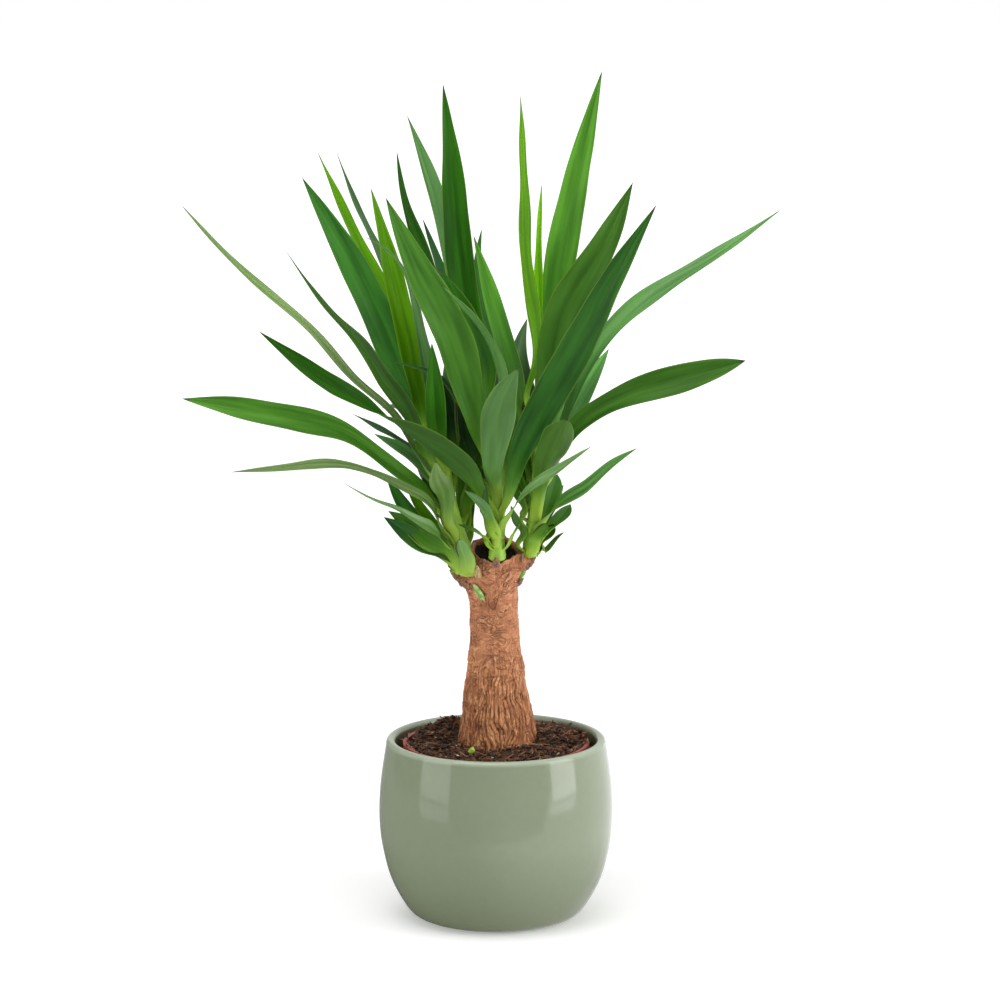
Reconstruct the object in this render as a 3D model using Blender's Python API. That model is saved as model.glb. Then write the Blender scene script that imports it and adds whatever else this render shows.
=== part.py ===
"""Potted yucca: a thick cane with three leafy shoots, in a nursery pot inside a glazed cover pot.

Metres, +Z up.  The origin is the centre of the cover pot's flat foot and the front of the
plant looks towards -Y.  The tables below are in millimetres, because a leaf is easier to
think about in them; MM turns them into metres.
"""
import math

import bmesh
import bpy
import numpy as np

MM = 0.001
GAP = 0.3                    # clearance kept between neighbouring pieces

# Cover pot: the outside from the foot to the lip as (radius, height).
POT_HEIGHT = 136.0
POT_OUTSIDE = [(56, 0), (63.5, 3.2), (70, 11), (76, 21.5), (80.8, 33), (84.2, 46), (86.8, 60),
               (88, 76), (87.7, 92), (86.2, 108), (84, 123), (82.6, 132)]
POT_OUTSIDE_STEPS = 13
POT_WALL = 7.0
POT_FLOOR = 9.0
POT_SIDES = 44
LIP_STEPS = 6
POT_INSIDE_TOP = 120.0       # the inner wall is drawn from here down to the floor's corner
POT_INSIDE_LOW = 14.0        # height of that corner above the pot's floor
POT_INSIDE_STEPS = 6
POT_CORNER = [(3.0, 5.0), (11.0, 0.0)]   # the corner passes this far in, and this high above the floor

# Nursery pot that carries the soil.
GROW_RIM_RADIUS = 70.3
GROW_TOP = 133.0
GROW_RIM_DEPTH = 8.0
GROW_RIM_WIDTH = 3.2
GROW_RIM_BEVEL = 1.0
GROW_RIM_SLOPE = 0.4         # the rim widens by this much upwards, and its inner edge lies this much lower
GROW_STEP_DROP = 1.5         # the inside of the rim's step lies this much lower than its outside
GROW_FOOT_RADIUS = 50.0
GROW_WALL = 1.3
GROW_SIDES = 36
DRAIN_HOLES = 6
DRAIN_RADIUS = 4.0
DRAIN_CIRCLE = 36.0
DRAIN_START = 0.083          # turns the holes off the seams of the floor
DRAIN_SIDES = 8
DRAIN_REACH = 6.0            # how far the tool that cuts a hole sticks out on either side

# Soil: its top rises gently from the pot's wall to the cane.
SOIL_EDGE_TOP = 128.5
SOIL_RISE = 8.0
# Lumps all over it: height, how many round the pot, how they drift outwards.
SOIL_LUMPS = [(0.7, 5, 0.21), (0.5, 9, -0.33)]
# Heaps on it: bearing in degrees, distance from the middle, height, size.
SOIL_HEAPS = [(142, 46, 11.0, 17), (8, 38, 6.0, 18), (40, 50, 3.0, 16)]
SOIL_RINGS = [65.5, 58.0, 48.0, 39.0, 31.5]
SOIL_WALL_DROP = 2.0         # the soil meets the pot's wall this far under the step of the rim
SOIL_HOLLOW = [(31.0, 119.0), (28.0, 83.7)]     # the hollow round the foot of the cane, as (radius, height)

# Cane: its middle line as (x, y, z) and its radius as (height, radius).
CANE_BURIED_TO = 84.0
CANE_LINE = [(0.7, 0, 84), (0.7, 0, 128), (1.2, 0, 148), (0, 0, 176), (-0.8, 0, 210),
             (-2, 0, 245), (-1.5, 0, 272)]
CANE_RADIUS = [(84, 27.5), (118, 30.5), (130, 30.3), (148, 27.4), (163, 25), (176, 22.7),
               (188, 20.8), (210, 18.6), (240, 17.9), (262, 18.2), (276, 17.6)]
CANE_RING_HEIGHTS = [84, 118, 132, 141, 150, 160, 171, 183, 196, 210, 224, 238, 249, 258, 266]
CANE_SIDES = 28
CANE_TOP_FRONT = 274.5
CANE_TOP_BACK = 289.0
# Over the sawn rim and down into the hollow: share of the cane's radius, drop below the rim.
CANE_RIM = [(1.0, 2.0), (0.9, 0.0), (0.72, 1.5), (0.5, 9.0)]
CANE_HOLLOW_DEPTH = 10.0
CANE_RIM_LUMPS = (1.2, 5)    # height of the lumps on the rim, how many round it
CANE_RIM_LUMPS_FROM = 0.8    # they reach in to this share of the radius
CANE_RIM_BELOW = 2.0         # the rim has the girth of the cane this far under its top
# Waves in the bark: height, how many round the cane, how they drift upwards.
CANE_WAVES = [(0.5, 7, 0.35), (0.4, 11, -0.22)]
CANE_WAVES_FROM = 132.0
CANE_WAVES_FADE = 15.0
# Shoulders of bark under the side shoots: (bearing in degrees, height, reach).
CANE_SHOULDERS = [(200, 258, 8.5), (-10, 271, 8.5), (265, 262, 2.0)]
CANE_SHOULDER_SPREAD = 0.42  # half the width of a shoulder in radians
CANE_SHOULDER_HEIGHT = 8.0

# Shoots: the middle line, and the radius at the foot and at the top.
SHOOTS = {
    "left": ([(-21, -10, 265), (-26, -11, 285), (-32, -10, 305), (-38, -8, 340), (-44, -6, 374)], 8.2, 4.0),
    "centre": ([(1, -16.5, 277), (1.3, -16, 295), (1.5, -15, 317), (-1, -13, 348), (-5, -10, 384)], 6.6, 3.6),
    "right": ([(25, -4, 277), (28, -4, 302), (31, -2, 330), (31, 0, 360), (30, 1, 386)], 6.0, 3.6),
}
SHOOT_SIDES = 12
SHOOT_RINGS = 8
SHOOT_LINE_STEPS = 24
# Round ends of a shoot, as shares of its radius there: width of the last ring, how far
# that ring lies past the end of the line, and how far the very end does.
SHOOT_FOOT_END = (0.55, 0.55, 0.7)
SHOOT_TIP_END = (0.55, 0.6, 0.8)

# Leaves of each shoot, lowest first.  A row holds the height at which the leaf leaves the
# shoot, its width, how far the blade is turned away from facing the front (degrees at the
# foot and at the tip), its tone, and the places that its middle line passes, tip last.
LEFT_LEAVES = [
    (266, 16, 30, 30, "slate", [(-39, -12, 274), (-57, -18, 289), (-83, -26, 309)]),
    (277, 10, 45, 45, "grey", [(-44, -24, 297), (-58, -38, 309), (-73, -50, 320), (-85, -58, 326),
                               (-112, -75, 344)]),
    (283, 14, 40, 40, "slate", [(-47, 6, 290), (-68, 24, 307), (-83, 40, 329)]),
    (292, 9, 45, 60, "olive", [(-48, -20, 317), (-63, -32, 330), (-81, -45, 341), (-111, -62, 354),
                               (-142, -80, 356), (-191, -100, 355)]),
    (298, 16, 170, 200, "olive", [(-37, -20, 316), (-42, -46, 340), (-44, -70, 358)]),
    (300, 20, 20, 10, "mid", [(-43, 20, 318), (-52, 70, 330), (-60, 120, 325)]),
    (307, 21, 35, 35, "mid", [(-53, -10, 325), (-70, -15, 340), (-91, -22, 358), (-112, -28, 373),
                               (-144, -36, 383), (-187, -45, 393), (-229, -50, 401)]),
    (313, 12, 65, 75, "slate", [(-48, 26, 336), (-70, 62, 350), (-111, 112, 365)]),
    (320, 13, 45, 50, "teal", [(-48, 5, 331), (-64, 31, 345), (-93, 70, 356)]),
    (330, 21, 25, 10, "deep", [(-46, 34, 356), (-68, 97, 372), (-90, 170, 360)]),
    (330, 8, 50, 50, "bright", [(-74, -25, 384), (-103, -31, 412), (-131, -40, 446), (-178, -52, 490),
                               (-227, -60, 544)]),
    (338, 15, 30, 60, "mid", [(-66, -33, 391), (-81, -42, 412), (-94, -53, 436), (-113, -68, 460),
                               (-133, -83, 487), (-150, -95, 515)]),
    (342, 16, 15, 20, "deep", [(-43, -38, 377), (-45, -62, 413), (-46, -86, 447)]),
    (341, 22, 10, 0, "teal", [(-34, 42, 368), (-28, 125, 408), (-25, 215, 398)]),
    (347, 13, 30, 60, "slate", [(-44, -24, 378), (-53, -22, 433), (-62, -30, 478), (-73, -34, 502),
                               (-97, -38, 519)]),
    (352, 25, 20, 15, "teal", [(-58, 0, 382), (-71, 13, 413), (-94, 23, 465), (-117, 28, 509),
                               (-144, 30, 555)]),
    (358, 16, 55, 70, "grey", [(-60, 50, 420), (-91, 120, 491), (-110, 147, 528), (-124, 170, 562)]),
    (364, 18, 25, 30, "bright", [(-55, -14, 384), (-66, -19, 444), (-78, -24, 500), (-91, -30, 553)]),
    (370, 18, 50, 60, "bright", [(-53, 26, 405), (-81, 61, 456), (-109, 87, 510), (-136, 110, 567)]),
]
CENTRE_LEAVES = [
    (296, 9, 45, 50, "grey", [(-3, -32, 306), (-8, -54, 320), (-23, -95, 341)]),
    (302, 9, -50, -60, "olive", [(14, -30, 318), (36, -63, 345), (68, -120, 377)]),
    (306, 20, -10, 0, "deep", [(3, 20, 322), (2, 85, 345), (0, 150, 330)]),
    (313, 26, -10, -20, "teal", [(12, -26, 334), (20, -46, 366), (56, -82, 438), (81, -101, 490),
                                 (114, -110, 549)]),
    (330, 19, 160, 170, "teal", [(5, -26, 346), (12, -31, 367), (15, -38, 389)]),
    (324, 25, 180, 180, "grey", [(-2, -43, 343), (-1, -68, 370), (3, -97, 401), (16, -135, 436)]),
    (329, 21, 20, 10, "slate", [(-13, 21, 346), (-26, 59, 368), (-34, 95, 387)]),
    (311, 18, 150, 30, "deep", [(-12, -33, 328), (-21, -50, 347), (-42, -60, 367), (-75, -66, 388),
                                 (-128, -77, 422),
                                 (-171, -75, 454)]),
    (341, 23, 5, -5, "teal", [(-2, 30, 375), (-4, 130, 405), (-5, 230, 385)]),
    (346, 27, 8, 5, "mid", [(-14, -25, 378), (-20, -33, 405), (-33, -45, 451), (-49, -53, 483),
                               (-79, -70, 550)]),
    (351, 18, 40, 45, "slate", [(-16, 40, 390), (-24, 77, 419), (-42, 121, 474), (-57, 150, 512)]),
    (356, 16, 125, 120, "grey", [(5, -30, 390), (-2, -42, 436), (-19, -51, 463), (-40, -60, 486)]),
    (360, 20, 30, 30, "grey", [(-16, 32, 410), (-36, 80, 503), (-48, 98, 543), (-68, 120, 594)]),
    (367, 18, 40, 50, "deep", [(-23, 13, 397), (-54, 60, 490), (-68, 73, 530), (-75, 85, 570)]),
    (373, 20, 35, 40, "deep", [(-9, -14, 400), (-19, -11, 450), (-41, -10, 492)]),
    (381, 22, 10, 15, "deep", [(-9, 4, 400), (-24, 12, 473), (-31, 18, 543), (-39, 20, 625)]),
]
RIGHT_LEAVES = [
    (285, 12, -30, -30, "grey", [(41, 6, 295), (49, 13, 302), (56, 22, 310)]),
    (291, 14, -10, -10, "grey", [(36, 9, 303), (41, 13, 317), (46, 15, 334)]),
    (297, 11, -45, -50, "grey", [(47, -25, 319), (65, -48, 335), (84, -72, 356), (102, -90, 371)]),
    (306, 20, -20, -10, "deep", [(30, 21, 326), (41, 90, 350), (52, 165, 355)]),
    (313, 22, 180, 180, "mid", [(34, -28, 338), (41, -70, 368), (51, -120, 397)]),
    (323, 18, 20, 20, "slate", [(28, 20, 338), (21, 55, 361), (18, 95, 390)]),
    (328, 24, -40, -35, "mid", [(49, -10, 358), (85, -22, 394), (135, -36, 413), (182, -50, 429)]),
    (333, 22, -20, -10, "mid", [(42, 30, 362), (54, 115, 398), (62, 200, 400)]),
    (337, 18, -20, -20, "grey", [(48, 15, 363), (67, 34, 396), (85, 50, 424)]),
    (344, 18, -20, -15, "grey", [(26, 48, 376), (18, 96, 417), (24, 120, 438)]),
    (350, 17, -45, -55, "grey", [(66, 20, 412), (104, 35, 457), (157, 51, 490), (215, 70, 527)]),
    (354, 19, 30, 35, "mid", [(20, 15, 375), (12, 31, 407), (-1, 51, 453), (-17, 75, 507)]),
    (363, 29, -8, -12, "mid", [(39, -14, 391), (52, -15, 461), (75, -15, 502), (100, -20, 556)]),
    (369, 24, -12, -15, "bright", [(38, 22, 400), (47, 45, 479), (61, 70, 553), (80, 90, 630)]),
    (376, 16, -60, -60, "bright", [(33, 16, 412), (32, 26, 475), (34, 42, 549)]),
    (383, 19, 55, 60, "bright", [(27, 3, 414), (24, 7, 474), (20, 11, 547), (18, 15, 617)]),
]
LEAF_THICKNESS = 1.5
LEAF_SEAT_CLEARANCE = 0.6
LEAF_HEEL = (4.5, 3.5)       # the first stretch goes this far out and this far up
LEAF_CLASP = 45.0            # over this length the blade turns from clasping the shoot to its own set
LEAF_FOLD = 0.14             # how far the edges rise above the midrib, as a part of the width
LEAF_NECK = 0.38             # width of the foot as a part of the greatest width
LEAF_WIDEST = 0.45           # where the blade is widest, along its length
LEAF_BACKWARD = 0.75         # past this share of pointing to the back, a blade faces up, not forward
LEAF_STEP = 26.0             # length of one stretch of a blade between two cross-sections
LEAF_LEAST_STEPS = 6
LEAF_THINNEST = 0.4          # share of the thickness that is left at the very tip
LEAF_SHARP_DEGREES = 60
LEAF_ROUGHNESS = 0.4

LEAF_TONES = {"deep": (0.03, 0.14, 0.01), "bright": (0.12, 0.32, 0.01), "mid": (0.07, 0.24, 0.03),
              "grey": (0.10, 0.24, 0.12), "teal": (0.02, 0.10, 0.04), "slate": (0.01, 0.05, 0.02),
              "olive": (0.16, 0.27, 0.09)}
# Colour and roughness of everything else.
CELADON = ((0.28, 0.34, 0.23), 0.15)
TERRACOTTA = ((0.32, 0.05, 0.03), 0.45)
PEAT = ((0.035, 0.018, 0.010), 0.95)
BARK = ((0.36, 0.17, 0.08), 0.85)
SPROUT_GREEN = ((0.38, 0.50, 0.05), 0.4)

# Buds: name, the spot that it stands on, the way that it grows, length, thickness.
BUDS = [("trunk_bud", (-9.0, -18.2, 244.5), (-0.62, 0.02, 1.0), 14.0, 5.0),
        ("soil_sprout", (-18.8, -38.5, 131.75), (0.2, -0.15, 1.0), 6.5, 5.4)]
BUD_SIDES = 8
BUD_OUTLINE = [(0.04, 0.5), (0.28, 0.95), (0.6, 0.85), (0.86, 0.4)]  # shares of length and thickness


def finish(name, look):
    """A plain material from a colour and a roughness."""
    colour, roughness = look
    material = bpy.data.materials.new(name)
    material.use_nodes = True
    shader = material.node_tree.nodes["Principled BSDF"]
    shader.inputs["Base Color"].default_value = (*colour, 1.0)
    shader.inputs["Roughness"].default_value = roughness
    return material


def add_piece(name, points, faces, material, sharp_degrees=35):
    """A closed mesh object from points in millimetres, with its faces pointing out."""
    mesh = bpy.data.meshes.new(name)
    mesh.from_pydata((np.asarray(points) * MM).tolist(), [], faces)
    shell = bmesh.new()
    shell.from_mesh(mesh)
    bmesh.ops.recalc_face_normals(shell, faces=shell.faces)
    shell.to_mesh(mesh)
    shell.free()
    mesh.shade_smooth()
    mesh.set_sharp_from_angle(angle=math.radians(sharp_degrees))
    mesh.materials.append(material)
    piece = bpy.data.objects.new(name, mesh)
    bpy.context.collection.objects.link(piece)
    return piece


def smooth_through(points, count):
    """Points at even steps along the natural cubic spline through the given ones."""
    knots = np.asarray(points, dtype=float)
    steps = np.linalg.norm(np.diff(knots, axis=0), axis=1)
    along = np.concatenate(([0.0], np.cumsum(steps)))
    last = len(knots) - 1
    matrix = np.eye(last + 1)
    pull = np.zeros_like(knots)
    for i in range(1, last):
        matrix[i, i - 1:i + 2] = steps[i - 1], 2 * (steps[i - 1] + steps[i]), steps[i]
        pull[i] = 6 * ((knots[i + 1] - knots[i]) / steps[i] - (knots[i] - knots[i - 1]) / steps[i - 1])
    bend = np.linalg.solve(matrix, pull)
    place = np.linspace(0.0, along[-1], count)
    span = np.clip(np.searchsorted(along, place, side="right") - 1, 0, last - 1)
    width = steps[span][:, None]
    left = (along[span + 1] - place)[:, None] / width
    right = 1.0 - left
    curve = left * knots[span] + right * knots[span + 1]
    return curve + ((left ** 3 - left) * bend[span] + (right ** 3 - right) * bend[span + 1]) * width ** 2 / 6


def joined_rings(rings, ring_size):
    """Quads between neighbouring rings of points numbered ring by ring."""
    faces = []
    for ring in range(rings - 1):
        for side in range(ring_size):
            after = (side + 1) % ring_size
            start = ring * ring_size
            above = start + ring_size
            faces.append((start + side, start + after, above + after, above + side))
    return faces


def capped_rings(rings, first_centre, last_centre):
    """Points and faces of a stack of rings whose two ends close on a point each."""
    count, size, _ = rings.shape
    points = np.vstack([rings.reshape(-1, 3), first_centre, last_centre])
    faces = joined_rings(count, size)
    start = (count - 1) * size
    for side in range(size):
        after = (side + 1) % size
        faces.append((count * size, after, side))
        faces.append((count * size + 1, start + side, start + after))
    return points, faces


def turned(profile, sides):
    """Points and faces of a solid turned about Z from (radius, height) pairs.

    The profile starts and ends on the axis, and those two ends become single points.
    """
    angle = np.arange(sides) * 2 * math.pi / sides
    inner = np.asarray(profile[1:-1], dtype=float)
    rings = np.stack([inner[:, :1] * np.cos(angle), inner[:, :1] * np.sin(angle),
                      np.repeat(inner[:, 1:], sides, axis=1)], axis=-1)
    return capped_rings(rings, (0, 0, profile[0][1]), (0, 0, profile[-1][1]))


def cutter(piece):
    """Marks a piece as a guide for a Boolean, which is no part of the object."""
    piece.hide_render = True
    piece.display_type = "WIRE"
    return piece


def subtract(piece, tool):
    """Takes the tool's shape out of the piece."""
    cut = piece.modifiers.new("cut_" + tool.name, "BOOLEAN")
    cut.operation = "DIFFERENCE"
    cut.solver = "EXACT"
    cut.object = tool


def pot_inside_radius(height):
    """Radius of the cover pot's inner wall at a height."""
    outside = np.asarray(POT_OUTSIDE, dtype=float)
    return np.interp(height, outside[:, 1], outside[:, 0]) - POT_WALL


def make_ceramic_pot():
    """Rounded cover pot: thick glazed wall, half-round lip, flat foot."""
    outside = smooth_through(POT_OUTSIDE, POT_OUTSIDE_STEPS)
    lip_radius = POT_WALL / 2
    lip_centre = outside[-1, 0] - lip_radius
    lip_base = POT_HEIGHT - lip_radius
    swing = np.linspace(0.0, math.pi, LIP_STEPS)
    lip = np.column_stack([lip_centre + lip_radius * np.cos(swing), lip_base + lip_radius * np.sin(swing)])
    heights = np.linspace(POT_INSIDE_TOP, POT_FLOOR + POT_INSIDE_LOW, POT_INSIDE_STEPS)
    inside = np.column_stack([pot_inside_radius(heights), heights])
    corner = [(inside[-1, 0] - inwards, POT_FLOOR + up) for inwards, up in POT_CORNER]
    profile = [(0, 0), *outside[:-1], *lip, *inside, *corner, (0, POT_FLOOR)]
    return add_piece("ceramic_pot", *turned(profile, POT_SIDES), finish("celadon_glaze", CELADON))


def grow_wall_radius(height):
    """Outer radius of the nursery pot's tapered wall at a height."""
    share = (height - POT_FLOOR) / (GROW_TOP - POT_FLOOR)
    return GROW_FOOT_RADIUS + share * (GROW_RIM_RADIUS - GROW_RIM_WIDTH + GROW_WALL - GROW_FOOT_RADIUS)


def make_grow_pot():
    """Thin tapered nursery pot with a stepped rim and drainage holes in its floor."""
    foot = POT_FLOOR + GAP
    step = GROW_TOP - GROW_RIM_DEPTH
    floor_top = foot + GROW_WALL
    profile = [(0, foot), (GROW_FOOT_RADIUS, foot), (grow_wall_radius(step), step),
               (GROW_RIM_RADIUS - GROW_RIM_SLOPE, step), (GROW_RIM_RADIUS, GROW_TOP - GROW_RIM_BEVEL),
               (GROW_RIM_RADIUS - GROW_RIM_BEVEL, GROW_TOP),
               (GROW_RIM_RADIUS - GROW_RIM_WIDTH, GROW_TOP - GROW_RIM_SLOPE),
               (grow_wall_radius(step) - GROW_WALL, step - GROW_STEP_DROP),
               (grow_wall_radius(floor_top) - GROW_WALL, floor_top), (0, floor_top)]
    pot = add_piece("grow_pot", *turned(profile, GROW_SIDES), finish("terracotta_plastic", TERRACOTTA))
    for number in range(DRAIN_HOLES):
        angle = DRAIN_START + 2 * math.pi * number / DRAIN_HOLES
        low, high = foot - DRAIN_REACH, foot + DRAIN_REACH
        hole = [(0, low), (DRAIN_RADIUS, low), (DRAIN_RADIUS, high), (0, high)]
        points, faces = turned(hole, DRAIN_SIDES)
        points = points + (DRAIN_CIRCLE * math.cos(angle), DRAIN_CIRCLE * math.sin(angle), 0)
        tool = cutter(add_piece("drain_tool_%d" % (number + 1), points, faces, pot.data.materials[0]))
        subtract(pot, tool)
    return pot


def soil_top(radius, angle):
    """Height of the soil's surface: a low mound with shallow lumps and a few heaps."""
    top = SOIL_EDGE_TOP + SOIL_RISE * (1 - radius / GROW_RIM_RADIUS)
    for height, waves, drift in SOIL_LUMPS:
        top = top + height * np.sin(waves * angle + drift * radius)
    for bearing, distance, height, size in SOIL_HEAPS:
        off_x = radius * np.cos(angle) - distance * math.cos(math.radians(bearing))
        off_y = radius * np.sin(angle) - distance * math.sin(math.radians(bearing))
        top = top + height * np.exp(-(off_x ** 2 + off_y ** 2) / size ** 2)
    return top


def level_ring(radius, height):
    """Points of a ring about the pot's axis; its height may change on the way round."""
    angle = np.arange(GROW_SIDES) * 2 * math.pi / GROW_SIDES
    return np.column_stack([radius * np.cos(angle), radius * np.sin(angle), height + 0 * angle])


def make_soil():
    """Peat that fills the nursery pot, with the hollow that the foot of the cane stands in."""
    floor = POT_FLOOR + 2 * GAP + GROW_WALL
    step = GROW_TOP - GROW_RIM_DEPTH - SOIL_WALL_DROP
    angle = np.arange(GROW_SIDES) * 2 * math.pi / GROW_SIDES
    clear = GROW_WALL + 2 * GAP
    rings = [level_ring(grow_wall_radius(height) - clear, height) for height in (floor, step)]
    rings += [level_ring(radius, soil_top(radius, angle)) for radius in SOIL_RINGS]
    rings += [level_ring(radius, height) for radius, height in SOIL_HOLLOW]
    middle = (CANE_LINE[0][0], 0, 0)
    for ring in rings[-3:]:
        ring += middle
    points, faces = capped_rings(np.array(rings), (0, 0, floor), (middle[0], 0, SOIL_HOLLOW[-1][1]))
    return add_piece("potting_soil", points, faces, finish("peat", PEAT))


def cane_middle(height):
    """Middle of the cane at a height, as (x, y)."""
    line = np.asarray(CANE_LINE, dtype=float)
    return np.array([np.interp(height, line[:, 2], line[:, axis]) for axis in (0, 1)])


def cane_radius(height, angle):
    """Radius of the cane: a swollen foot, a slim neck, and shoulders under the side shoots.

    Above the soil the bark also waves in and out by less than a millimetre.
    """
    girth = np.asarray(CANE_RADIUS, dtype=float)
    radius = np.interp(height, girth[:, 0], girth[:, 1])
    bark = np.clip((height - CANE_WAVES_FROM) / CANE_WAVES_FADE, 0, 1)
    for depth, waves, drift in CANE_WAVES:
        radius = radius + bark * depth * np.sin(waves * angle + drift * height)
    for bearing, middle, reach in CANE_SHOULDERS:
        off = (angle - math.radians(bearing) + math.pi) % (2 * math.pi) - math.pi
        off, up = off / CANE_SHOULDER_SPREAD, (height - middle) / CANE_SHOULDER_HEIGHT
        radius = radius + reach * np.exp(-off ** 2 - up ** 2)
    return radius


def cane_ring(middle, radius, height):
    """Points of a ring round the cane's middle; its height may change on the way round."""
    angle = np.arange(CANE_SIDES) * 2 * math.pi / CANE_SIDES
    x, y = middle[0] + radius * np.cos(angle), middle[1] + radius * np.sin(angle)
    return np.column_stack([x, y, height + 0 * angle])


def make_trunk():
    """The cane, sawn off and hollowed by drying at its top."""
    angle = np.arange(CANE_SIDES) * 2 * math.pi / CANE_SIDES
    half_way = (CANE_TOP_BACK + CANE_TOP_FRONT) / 2
    tilt = half_way + (CANE_TOP_BACK - CANE_TOP_FRONT) / 2 * np.sin(angle)
    rings = [cane_ring(cane_middle(height), cane_radius(height, angle), height)
             for height in CANE_RING_HEIGHTS]
    middle = cane_middle(CANE_TOP_FRONT)
    girth = cane_radius(tilt - CANE_RIM_BELOW, angle)
    for share, drop in CANE_RIM:
        lump, waves = CANE_RIM_LUMPS
        lumps = lump * np.sin(waves * angle) * (share > CANE_RIM_LUMPS_FROM)
        rings.append(cane_ring(middle, share * girth, tilt + lumps - drop))
    foot = (CANE_LINE[0][0], 0, CANE_BURIED_TO)
    points, faces = capped_rings(np.array(rings), foot, (*middle, half_way - CANE_HOLLOW_DEPTH))
    return add_piece("trunk", points, faces, finish("bark", BARK))


def shoot_middle(side, height):
    """Middle of a shoot at a height, and its radius there."""
    line, foot_radius, top_radius = SHOOTS[side]
    curve = smooth_through(line, SHOOT_LINE_STEPS)
    place = np.array([np.interp(height, curve[:, 2], curve[:, axis]) for axis in (0, 1)])
    share = np.clip((height - line[0][2]) / (line[-1][2] - line[0][2]), 0, 1)
    return place, foot_radius + (top_radius - foot_radius) * share


def shoot_rings(side, grow):
    """Rings of a shoot with round ends, all of them larger by the given amount."""
    line, foot_radius, top_radius = SHOOTS[side]
    curve = smooth_through(line, SHOOT_RINGS)
    angle = np.arange(SHOOT_SIDES) * 2 * math.pi / SHOOT_SIDES
    flat = np.column_stack([np.cos(angle), np.sin(angle), 0 * angle])
    share = np.linspace(0, 1, SHOOT_RINGS)
    radius = foot_radius + (top_radius - foot_radius) * share + grow
    rings = curve[:, None, :] + radius[:, None, None] * flat
    girth, past, end = SHOOT_FOOT_END
    foot = curve[0] + girth * radius[0] * flat - (0, 0, past * foot_radius + grow)
    low = curve[0] - (0, 0, end * foot_radius + grow)
    girth, past, end = SHOOT_TIP_END
    tip = curve[-1] + girth * radius[-1] * flat + (0, 0, past * top_radius + grow)
    high = curve[-1] + (0, 0, end * top_radius + grow)
    return capped_rings(np.concatenate([[foot], rings, [tip]]), low, high)


def make_shoots(trunk):
    """Three green shoots, each standing in a socket in the bark that clears it by the gap."""
    for side in SHOOTS:
        stem = finish("sheath_green_" + side, SPROUT_GREEN)
        add_piece("stem_" + side, *shoot_rings(side, 0.0), stem)
        subtract(trunk, cutter(add_piece("socket_tool_" + side, *shoot_rings(side, GAP), stem)))


def leaf_shape(share):
    """Width along a blade, from 0 at the foot to 1 at the tip, as a part of the greatest."""
    rise = np.clip(share / LEAF_WIDEST, 0, 1)
    fall = np.clip((share - LEAF_WIDEST) / (1 - LEAF_WIDEST), 0, 1)
    return LEAF_NECK + (1 - LEAF_NECK) * (3 * rise ** 2 - 2 * rise ** 3) - fall ** 2


def split_alike(faces):
    """Splits a blade's quads from an edge to the keel, so that its two skins fold in the same way.

    A blade's rings have four points, so the even points are edges and the odd ones keels.
    """
    triangles = []
    for face in faces:
        if len(face) == 3:
            triangles.append(face)
            continue
        start, after, next_after, next_start = face
        if start % 2 == 0:
            triangles += [(start, after, next_after), (start, next_after, next_start)]
        else:
            triangles += [(start, after, next_start), (after, next_after, next_start)]
    return triangles


def unit(vectors):
    """The same directions with length 1."""
    return vectors / np.linalg.norm(vectors, axis=-1, keepdims=True)


def leaf_run(side, seat, route):
    """Middle line of a leaf: from the skin of the shoot through the places of its route."""
    middle, radius = shoot_middle(side, seat)
    away = unit(np.array(route[0][:2], dtype=float) - middle)
    stand_off = radius + LEAF_SEAT_CLEARANCE
    foot = (*(middle + away * stand_off), seat)
    heel = (*(middle + away * (stand_off + LEAF_HEEL[0])), seat + LEAF_HEEL[1])
    length = np.linalg.norm(np.diff([foot, *route], axis=0), axis=1).sum()
    stretches = max(LEAF_LEAST_STEPS, round(length / LEAF_STEP))
    run = smooth_through([foot, heel, *route], 1 + stretches)
    return np.vstack([run[:1], heel, run[1:]])


def make_leaf(name, side, row):
    """A blade with a shallow keel: four points round, narrow foot, widest near the middle."""
    seat, width, turn_foot, turn_tip, tone, route = row
    run = leaf_run(side, seat, route)
    along = np.concatenate(([0.0], np.cumsum(np.linalg.norm(np.diff(run, axis=0), axis=1))))
    share = along / along[-1]
    ahead = unit(np.gradient(run, along, axis=0))
    backward = np.clip((ahead[:, 1:2] - LEAF_BACKWARD) / (1 - LEAF_BACKWARD), 0, 1)
    facing = np.array([0.0, -1.0, 0.0]) + backward * (0.0, 0.0, 1.0)
    facing = unit(facing - ahead * np.sum(facing * ahead, axis=1)[:, None])
    turn = np.radians(turn_foot + (turn_tip - turn_foot) * share)[:, None]
    turned_across = np.cross(ahead, facing * np.cos(turn) + np.cross(ahead, facing) * np.sin(turn))
    clasp = np.cross((0.0, 0.0, 1.0), (*(run[1] - run[0])[:2], 0.0))
    clasp = unit(clasp) * np.sign(turned_across[1] @ clasp)
    free = np.clip(along / LEAF_CLASP, 0, 1)[:, None]
    free = 3 * free ** 2 - 2 * free ** 3
    across = clasp * (1 - free) + turned_across * free
    across = unit(across - ahead * np.sum(across * ahead, axis=1)[:, None])
    upper = np.cross(across, ahead)
    shape = leaf_shape(share)[:, None]
    half = shape * width / 2
    thick = LEAF_THICKNESS / 2 * (LEAF_THINNEST + (1 - LEAF_THINNEST) * shape)
    keel = run - upper * half * free * LEAF_FOLD
    edge = run + upper * half * free * LEAF_FOLD
    rings = np.stack([edge - across * half, keel + upper * thick,
                      edge + across * half, keel - upper * thick], axis=1)
    points, faces = capped_rings(rings[:-1], rings[0].mean(axis=0), run[-1])
    skin = finish(name, (LEAF_TONES[tone], LEAF_ROUGHNESS))
    return add_piece(name, points, split_alike(faces), skin, LEAF_SHARP_DEGREES)


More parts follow.
